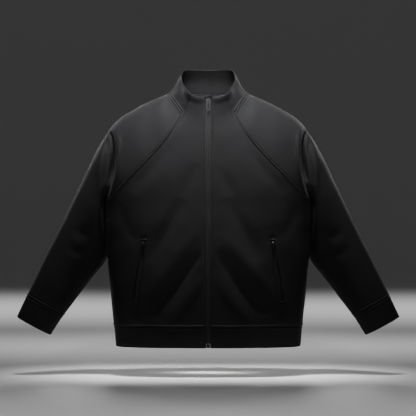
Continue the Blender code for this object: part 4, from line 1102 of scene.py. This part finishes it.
def make_hem(panels, lines):
    """One band from the zip round the back to the zip."""
    front, back = panels["front"], panels["back"]
    close = rows_near(front, (LOW_COLUMN, 1, -BAND_STEPS), (LOW_COLUMN, 0, FOLD_STEPS))
    rows = filled(close, 0, 1, HEM_STEP)
    from_zip = columns_by_distance(front, rows, FRONT_COLUMNS, SEAM_STEPS, CENTRE, HEM_EVEN)
    front_half = sampled(front, rows, from_zip)
    back_half = sampled(back, rows, np.linspace(0, BACK_COLUMNS, 61))
    points, normals = both_halves(
        [np.concatenate([b, f[:, -2::-1]], axis=1) for b, f in zip(back_half, front_half)]
    )
    seams = [(all_of(lines, "hem_front", "hem_back"), BAND_BELOW)]
    folds = [all_of(lines, "hem_edge_front", "hem_edge_back", "hem_end")]
    height = body_height(points, normals) + seamed(points, seams)
    obj, _ = cloth("hem_band", (points, normals), height, BAND, False, folds)


def make_collar(panels, lines):
    collar = panels["collar"]
    close = rows_near(collar, (SHOULDER_COLUMN, 0, BAND_STEPS), (SHOULDER_COLUMN, COLLAR_ROWS, -FOLD_STEPS))
    rows = filled(close, 0, COLLAR_ROWS, COLLAR_STEP)
    last = SLEEVE_COLUMNS + BACK_COLUMNS
    columns = columns_by_distance(collar, rows, last, SEAM_STEPS[:14], CENTRE, COLLAR_EVEN)
    points, normals = both_halves([part[:, ::-1] for part in sampled(collar, rows, columns)])
    seams = [
        (all_of(lines, "neck_sleeve", "neck_back"), COLLAR_SIDE),
        (all_of(lines, "collar_front"), OPEN_SIDE),
    ]
    height = body_height(points, normals) + seamed(points, seams)
    obj, _ = cloth("collar", (points, normals), height, BAND, False, [all_of(lines, "collar_top")])


# ----- Zips and the neck tape -----

TAPE_DEPTH = CLOTH + 0.0008  # from the fronts' outer face back to the tape's
HEM_TAPE_DEPTH = BAND + 0.0006
TAPE_ACROSS = np.array([0.3, 0.6, 1.1, 1.7, 2.4, 3.1, 4.0, 5.2, 6.5, 9.0, 12.5, 16.3]) / 1000
POCKET_TAPE_ACROSS = np.array([0.2, 0.6, 1.1, 1.3, 2.0, 3.0, 4.2, 5.6, 7.0, 10.8]) / 1000
ZIP_TOP_Z = -0.0145
BOX_TOP_Z, BOX_HALF = -0.6580, 0.0050
TAPE_END_ROW = 0.02  # just above the hem's edge
# How far below a slider's top its chain and the post through the tapes end, and the post's half width
CHAIN_FALL, POST_FALL, POST_HALF = 0.0080, 0.0065, 0.0013
POCKET_CHAIN_FALL, POCKET_POST_FALLS = 0.0062, (0.0048, 0.0005)
POCKET_SPARE = 1 / 23  # share of the slot's length that its tape runs on past each end
# The tape's relief over the coil behind it: (place, half width, height) of the parting, ridges and edges
COIL_LIFT = ((0.0, 0.0012, -0.0005), (0.0032, 0.0011, 0.0005), (0.0057, 0.0008, -0.0004))
COIL_PITCH, COIL_TURN = 0.0015, 8  # length of a turn, and the wire's points in it
COIL_DEEP, COIL_WIDE, COIL_WIRE = 0.00055, 0.0013, 0.00028
COIL_ASIDE, COIL_BEHIND = 0.0010, 0.0010  # from the chain's middle line, and behind the tape
# The neck tape's rows above and below the seam, and how much thinner each face is there
NECK_TAPE_ACROSS = np.array([-4.5, -4.3, -3.8, -2.2, 0, 2.2, 3.8, 4.3, 4.5]) / 1000
NECK_TAPE_THIN = np.array([0.35, 0.15, 0, 0, 0, 0, 0, 0.15, 0.35]) / 1000
NECK_TAPE_GAP = 0.0008  # between it and the collar


def row_at(front, column, z):
    line = front[0][:, column * STEPS, 2]
    return float(np.interp(z, line, np.arange(len(line)) / STEPS))


def zip_surface(front, rows, across):
    """Points and normals on the fronts' outer face at distances from the centre, straight between them."""
    lines = cubic(front[0], np.asarray(rows) * STEPS)
    places = np.arange(lines.shape[1]) / STEPS
    beyond = np.maximum(across, ZIP_EDGE_X)
    columns = np.array([np.interp(beyond, line[:, 0], places) for line in lines])
    points, normals = sampled(front, rows, columns)
    points[..., 0] = across
    normals[..., 0] *= np.asarray(across) > ZIP_EDGE_X
    return points, unit(normals)


def tape_wall(name, points, normals, lift, faces_out, kept=None):
    wall = wall_mesh(points + normals * lift[..., None], points - normals * TAPE, faces_out, kept)
    piece(name + "_weave", name, *wall, WEAVE, "black_tape")


def tape_depth(rows):
    return np.interp(rows, [1, 1.6], [HEM_TAPE_DEPTH, TAPE_DEPTH])


def coil_mesh(path, outs, side):
    """A spring of wire along a path, as points and faces."""
    run = run_of(path)
    at = np.linspace(0, run[-1], int(run[-1] / COIL_PITCH) * COIL_TURN + 1)
    middle, out = read_off(path, run, at), read_off(outs, run, at)
    across = np.cross(out, unit(np.gradient(middle, axis=0)))
    turn = np.arange(len(at)) * 2 * math.pi / COIL_TURN + (math.pi if side > 0 else 0)
    wire = middle + across * (side * COIL_ASIDE + COIL_WIDE * np.cos(turn))[:, None]
    wire += out * (COIL_DEEP * np.sin(turn))[:, None]
    ahead = unit(np.gradient(wire, axis=0))
    one = unit(np.cross(ahead, out))
    two = np.cross(ahead, one)
    ring = np.stack([wire + COIL_WIRE * way for way in (one, two, -one, -two)], axis=1)
    ids, faces = tube_faces(len(wire), 4)
    return ring.reshape(-1, 3), np.concatenate([faces, [ids[0][::-1], ids[-1]]])


def coils(name, node, line, out):
    """The two coils of a zip, side by side along a line."""
    (one, faces), (other, other_faces) = (coil_mesh(line, out, side) for side in (1, -1))
    faces = np.concatenate([faces, other_faces + len(one)])
    piece(name, node, np.concatenate([one, other]), faces, NYLON, "black_coil")


def make_main_zip(panels):
    front = panels["front"]
    slider_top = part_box("zip_slider")[1][2]
    box_row, top_row = row_at(front, 0, BOX_TOP_Z), row_at(front, 0, ZIP_TOP_Z)
    chain_row, post_row = (row_at(front, 0, slider_top - fall) for fall in (CHAIN_FALL, POST_FALL))
    rows = filled([[box_row, chain_row, post_row, 1.0]], TAPE_END_ROW, top_row, ZIP_STEP)
    points, normals = zip_surface(front, rows, TAPE_ACROSS)
    points = points - normals * tape_depth(rows)[:, None, None]
    kept = np.ones((len(rows) - 1, len(TAPE_ACROSS) - 1), bool)
    kept[: np.searchsorted(rows, box_row), : np.searchsorted(TAPE_ACROSS, BOX_HALF)] = False
    kept[np.searchsorted(rows, post_row) :, : np.searchsorted(TAPE_ACROSS, POST_HALF)] = False
    lift = np.broadcast_to(profile(TAPE_ACROSS, COIL_LIFT), points.shape[:2])
    for side, mirror in SIDES:
        tape_wall(f"zip_tape_{side}", turned(points, mirror), turned(normals, mirror), lift, mirror > 0, kept)
    rows = rows[(rows >= box_row) & (rows <= chain_row)]
    line, out = (grid[:, 0] for grid in zip_surface(front, rows, [0.0]))
    coils("zip_coils", "zip_chain", line - out * (tape_depth(rows)[:, None] + TAPE + COIL_BEHIND), out)


def make_pocket_zips(panels):
    front = panels["front"]
    bottom, top = slot_rows(front)
    spare = (top - bottom) * POCKET_SPARE
    half = len(POCKET_TAPE_ACROSS)
    across = np.concatenate([-POCKET_TAPE_ACROSS[::-1], POCKET_TAPE_ACROSS])
    lift = profile(np.abs(across), COIL_LIFT)
    for side, mirror in SIDES:
        slider_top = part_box(f"pocket_slider_{side}")[1][2]
        split = [row_at(front, POCKET_COLUMN, slider_top - fall) for fall in POCKET_POST_FALLS]
        rows = filled([split, [bottom, top]], bottom - spare, top + spare, POCKET_ZIP_STEP)
        columns = [[POCKET_COLUMN + columns_from_slot(front, row, x) for x in across] for row in rows]
        points, normals = (turned(part, mirror) for part in sampled(front, rows, columns))
        kept = np.ones((len(rows) - 1, len(across) - 1), bool)
        low, high = (closest(rows, row) for row in split)
        kept[low:high, half - 4 : half + 3] = False  # where the slider's post passes between the tapes
        lifts = np.broadcast_to(lift, points.shape[:2])
        tape_wall(f"pocket_tape_{side}", points - normals * TAPE_DEPTH, normals, lifts, mirror > 0, kept)
        chain_row = row_at(front, POCKET_COLUMN, slider_top - POCKET_CHAIN_FALL)
        rows = rows[(rows >= bottom) & (rows <= chain_row)]
        line, out = (turned(grid[:, 0], mirror) for grid in sampled(front, rows, [POCKET_COLUMN]))
        line = line - out * (TAPE_DEPTH + TAPE + COIL_BEHIND)
        coils(f"pocket_coils_{side}", f"pocket_chain_{side}", line, out)


def make_neck_tape(panels):
    """The tape inside that covers the back neck seam, from shoulder to shoulder."""
    columns = np.linspace(SLEEVE_COLUMNS + BACK_COLUMNS, SLEEVE_COLUMNS // 2, 61)
    seam, out = (grid[0] for grid in sampled(panels["collar"], [0], columns))
    above = unit(sampled(panels["collar"], [0.5], columns)[0][0] - seam)
    tape = seam + above * NECK_TAPE_ACROSS[:, None, None]
    points, normals = both_halves([tape, np.broadcast_to(out, tape.shape)])
    thin = NECK_TAPE_THIN[:, None, None]
    outer = points - normals * (BAND + NECK_TAPE_GAP + thin)
    inner = points - normals * (BAND + NECK_TAPE_GAP + TAPE - thin)
    piece("neck_tape_weave", "neck_tape", *wall_mesh(outer, inner, False), WEAVE, "black_tape")


# ----- Stitches -----

STITCH_GAP = 0.0008
STITCH_SIZE = np.array([0.0024, 0.00034, 0.00022])  # length, half width and half height
STITCH_RINGS = ((-0.5, 0.35), (-0.36, 0.9), (0.0, 1.1), (0.36, 0.9), (0.5, 0.35))  # place along it, and size
STITCH_AROUND = 6
STITCH_AHEAD = 0.001  # to the point of the row that a stitch turns towards


def stitch_template():
    """A stitch of unit sizes: its points, along x, and its faces."""
    turns = np.arange(STITCH_AROUND) * 2 * math.pi / STITCH_AROUND
    points = [(at, size * math.cos(t), size * math.sin(t)) for at, size in STITCH_RINGS for t in turns]
    ids, faces = tube_faces(len(STITCH_RINGS), STITCH_AROUND)
    return np.array(points), faces[:, ::-1].tolist() + [ids[0].tolist(), ids[-1][::-1].tolist()]


def stitches_along(path, outs):
    """Where each stitch of a row lies: its middle, and the directions along, across and out of the cloth."""
    run = run_of(path)
    count = int(run[-1] / (STITCH_SIZE[0] + STITCH_GAP))
    at = (np.arange(count) + 0.5) * run[-1] / count
    middle, out = read_off(path, run, at), read_off(outs, run, at)
    along = unit(read_off(path, run, at + STITCH_AHEAD) - middle)
    across = unit(np.cross(out, along))
    return middle, along, across, np.cross(along, across)


def make_stitches(rows):
    template, sides = stitch_template()
    points, faces = [], []
    for path, outs in rows:
        for middle, *ways in zip(*stitches_along(path, outs)):
            first = len(points) * len(template)
            points.append(middle + template * STITCH_SIZE @ np.array(ways))
            faces += [[k + first for k in face] for face in sides]
    obj = smooth_object("topstitching", np.concatenate(points).tolist(), faces, THREAD)
    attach(obj, "jacket")


# ----- Materials -----


def new_material(name, colour, roughness, metallic=0.0, specular=0.5, sheen=0.0):
    material = bpy.data.materials.new(name)
    material.use_nodes = True
    shader = material.node_tree.nodes["Principled BSDF"]
    shader.inputs["Base Color"].default_value = (*colour, 1)
    shader.inputs["Roughness"].default_value = roughness
    shader.inputs["Metallic"].default_value = metallic
    shader.inputs["Specular IOR Level"].default_value = specular
    shader.inputs["Sheen Weight"].default_value = sheen
    return material, shader


def node(material, kind, **inputs):
    made = material.node_tree.nodes.new(kind)
    for name, value in inputs.items():
        made.inputs[name].default_value = value
    return made


def link(material, output, socket):
    material.node_tree.links.new(output, socket)


def noise_of(material, scale, detail=3.0):
    noise = node(material, "ShaderNodeTexNoise", Scale=scale, Detail=detail)
    link(material, node(material, "ShaderNodeTexCoord").outputs["Object"], noise.inputs["Vector"])
    return noise.outputs["Fac"]


def bands_of(material, direction, scale, distortion):
    wave = node(material, "ShaderNodeTexWave", Scale=scale, Distortion=distortion)
    wave.bands_direction = direction
    link(material, node(material, "ShaderNodeTexCoord").outputs["Object"], wave.inputs["Vector"])
    return wave.outputs["Fac"]


def product(material, one, two):
    times = node(material, "ShaderNodeMath")
    times.operation = "MULTIPLY"
    link(material, one, times.inputs[0])
    link(material, two, times.inputs[1])
    return times.outputs[0]


def vary(material, shader, factor, colours, roughness):
    """Colour and roughness that follow a noise between two values each."""
    mix = node(material, "ShaderNodeMix")
    mix.data_type = "RGBA"
    mix.inputs[6].default_value, mix.inputs[7].default_value = ((*colour, 1) for colour in colours)
    link(material, factor, mix.inputs[0])
    link(material, mix.outputs[2], shader.inputs["Base Color"])
    spread = node(material, "ShaderNodeMapRange")
    spread.inputs["To Min"].default_value, spread.inputs["To Max"].default_value = roughness
    link(material, factor, spread.inputs["Value"])
    link(material, spread.outputs["Result"], shader.inputs["Roughness"])


def raise_by(material, shader, factor, strength, distance, normal=None):
    bump = node(material, "ShaderNodeBump", Strength=strength, Distance=distance)
    link(material, factor, bump.inputs["Height"])
    if normal is not None:
        link(material, normal, bump.inputs["Normal"])
    link(material, bump.outputs["Normal"], shader.inputs["Normal"])
    return bump.outputs["Normal"]


def knit():
    """A smooth double knit: fine wales and courses, with a soft sheen."""
    material, shader = new_material("black_knit", (0.020, 0.020, 0.022), 0.6, specular=0.05, sheen=0.02)
    shader.inputs["Sheen Roughness"].default_value = 0.30
    colours = ((0.0100, 0.0100, 0.0106), (0.0125, 0.0125, 0.0134))
    vary(material, shader, noise_of(material, 11.0, 5.0), colours, (0.60, 0.70))
    stitches = product(material, bands_of(material, "X", 350.0, 0.6), bands_of(material, "Z", 420.0, 0.6))
    fine = raise_by(material, shader, stitches, 0.35, 0.00012)
    raise_by(material, shader, noise_of(material, 900.0, 2.0), 0.25, 0.00010, fine)
    return material


def weave():
    """Woven zip and neck tape, with a fine twill rib."""
    material, shader = new_material("black_tape", (0.012, 0.012, 0.013), 0.7, specular=0.12, sheen=0.02)
    colours = ((0.0100, 0.0100, 0.0106), (0.0135, 0.0135, 0.0142))
    vary(material, shader, noise_of(material, 60.0), colours, (0.62, 0.75))
    raise_by(material, shader, bands_of(material, "DIAGONAL", 500.0, 0.5), 0.5, 0.00020)
    return material


def thread():
    material, shader = new_material("black_thread", (0.018, 0.018, 0.019), 0.5, specular=0.35)
    colours = ((0.014, 0.014, 0.015), (0.024, 0.024, 0.025))
    vary(material, shader, noise_of(material, 400.0), colours, (0.45, 0.6))
    raise_by(material, shader, bands_of(material, "DIAGONAL", 900.0, 0.3), 0.5, 0.0001)
    return material


def nylon():
    material, shader = new_material("black_coil", (0.018, 0.018, 0.019), 0.35)
    colours = ((0.016, 0.016, 0.017), (0.022, 0.022, 0.023))
    vary(material, shader, noise_of(material, 200.0), colours, (0.3, 0.42))
    return material


def metal(name, colours, roughness):
    """Plated metal, faintly uneven."""
    material, shader = new_material(name, colours[0], roughness[0], metallic=1.0)
    vary(material, shader, noise_of(material, 300.0, 4.0), colours, roughness)
    raise_by(material, shader, noise_of(material, 1500.0), 0.15, 0.00005)
    return material


KNIT, WEAVE, THREAD, NYLON = knit(), weave(), thread(), nylon()
BRIGHT = metal("bright_metal", ((0.070, 0.070, 0.073), (0.045, 0.045, 0.047)), (0.30, 0.42))
MIDDLE = metal("main_zip_metal", ((0.022, 0.022, 0.023), (0.014, 0.014, 0.015)), (0.32, 0.44))
DARK = metal("dark_metal", ((0.020, 0.020, 0.021), (0.012, 0.012, 0.013)), (0.34, 0.46))
METALS = {
    BRIGHT: ("pocket_slider_left", "pocket_slider_right"),
    MIDDLE: ("zip_slider", "zip_pull", "zip_box"),
    DARK: ("pocket_pull_left", "pocket_pull_right"),
}


def finish_metals():
    for material, names in METALS.items():
        for place in [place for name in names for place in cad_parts[name].material_slots]:
            place.material = material


# ----- Floor, light and camera -----

CAMERA_LENS, SENSOR = 180.0, 36.0
VIEW_WIDTH = 1.102  # at the jacket
VIEW_MIDDLE = Vector((-0.0005, 0.0, -0.304))
FLOOR_Z = -0.746
FLOOR_RINGS = (0.5, 1.0, 3.0)  # their radii on its flat middle
FLOOR_FLAT, FLOOR_CURVE, WALL_HIGH = 8.5, 2.5, 6.0
FLOOR_AROUND = 128


def make_floor():
    """A pale floor that curves up into a round wall far away."""
    outline = [(radius, FLOOR_Z) for radius in FLOOR_RINGS]
    for turn in np.linspace(0, math.pi / 2, 13):
        rise = FLOOR_CURVE * (1 - math.cos(turn))
        outline.append((FLOOR_FLAT + FLOOR_CURVE * math.sin(turn), FLOOR_Z + rise))
    outline.append((FLOOR_FLAT + FLOOR_CURVE, FLOOR_Z + WALL_HIGH))
    angles = np.arange(FLOOR_AROUND) * 2 * math.pi / FLOOR_AROUND
    points = [(r * math.cos(a), r * math.sin(a), z) for r, z in outline for a in angles]
    ids, faces = tube_faces(len(outline), FLOOR_AROUND)
    material, _ = new_material("pale_floor", (0.62, 0.62, 0.62), 0.9, specular=0.1)
    smooth_object("floor", points, faces.tolist() + [ids[0][::-1].tolist()], material)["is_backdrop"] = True


# Soft boxes: name, place, what they face, width, height, spread in degrees and power
LIGHTS = (
    ("key", (0.0, -0.34, 1.6), (0.0, -0.10, 0.08), 0.7, 0.15, 18, 2.9),
    ("fill", (0.0, -2.4, 1.1), (0.0, 0.0, -0.14), 0.3, 0.2, 18, 1.05),
    ("neck", (0.0, -0.9, 1.3), (0.0, 0.05, -0.015), 0.1, 0.03, 4, 0.18),
    ("back", (0.0, 2.8, 0.35), (0.0, 0.10, -0.30), 1.0, 0.5, 26, 3.0),
    ("rim_left", (1.0, 1.6, 0.5), (0.30, 0.0, -0.20), 0.25, 0.8, 40, 0.7),
    ("rim_right", (-1.0, 1.6, 0.5), (-0.30, 0.0, -0.20), 0.25, 0.8, 40, 0.7),
    ("top", (0.0, 1.5, 1.3), (0.0, 0.0, 0.0), 1.6, 0.3, 30, 0.5),
    ("floor_front", (0.0, -1.6, 2.4), (0.0, -1.6, -0.746), 4.5, 0.6, 60, 12.0),
    ("floor_middle", (0.0, 1.1, 2.4), (0.0, 1.1, -0.746), 4.5, 0.3, 36, 10.0),
    ("floor_back", (0.0, 3.6, 2.4), (0.0, 3.6, -0.746), 6.0, 1.5, 70, 42.0),
)
WORLD = 0.08


def make_lights():
    for name, place, target, width, height, spread, power in LIGHTS:
        data = bpy.data.lights.new(name, "AREA")
        data.shape = "RECTANGLE"
        data.size, data.size_y, data.energy = width, height, power
        data.spread = math.radians(spread)
        obj = bpy.data.objects.new(name, data)
        obj.location = place
        obj.rotation_euler = (Vector(target) - Vector(place)).to_track_quat("-Z", "Y").to_euler()
        obj.visible_camera = False
        bpy.context.scene.collection.objects.link(obj)
    world = bpy.data.worlds.new("studio")
    world.use_nodes = True
    background = world.node_tree.nodes["Background"]
    background.inputs["Color"].default_value = (1, 1, 1, 1)
    background.inputs["Strength"].default_value = WORLD
    bpy.context.scene.world = world


def make_camera():
    data = bpy.data.cameras.new("camera")
    data.lens, data.sensor_width = CAMERA_LENS, SENSOR
    obj = bpy.data.objects.new("camera", data)
    obj.location = VIEW_MIDDLE + Vector((0, -VIEW_WIDTH * CAMERA_LENS / SENSOR, 0))
    obj.rotation_euler = (math.pi / 2, 0, 0)
    data.clip_end = 60
    bpy.context.scene.collection.objects.link(obj)
    bpy.context.scene.camera = obj


STITCHED = []  # rows of topstitching: their points and the directions out of the cloth


def main():
    panels = smooth_panels()
    sagged(panels)
    lines = seam_lines(panels)
    for make in (make_fronts, make_back, make_sleeves, make_cuffs, make_hem, make_collar):
        make(panels, lines)
    make_main_zip(panels)
    make_pocket_zips(panels)
    make_neck_tape(panels)
    make_stitches(STITCHED)
    finish_metals()
    make_floor()
    make_lights()
    make_camera()


main()
[[list(corner) for corner in box] for box in (CAD_BOX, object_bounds())]
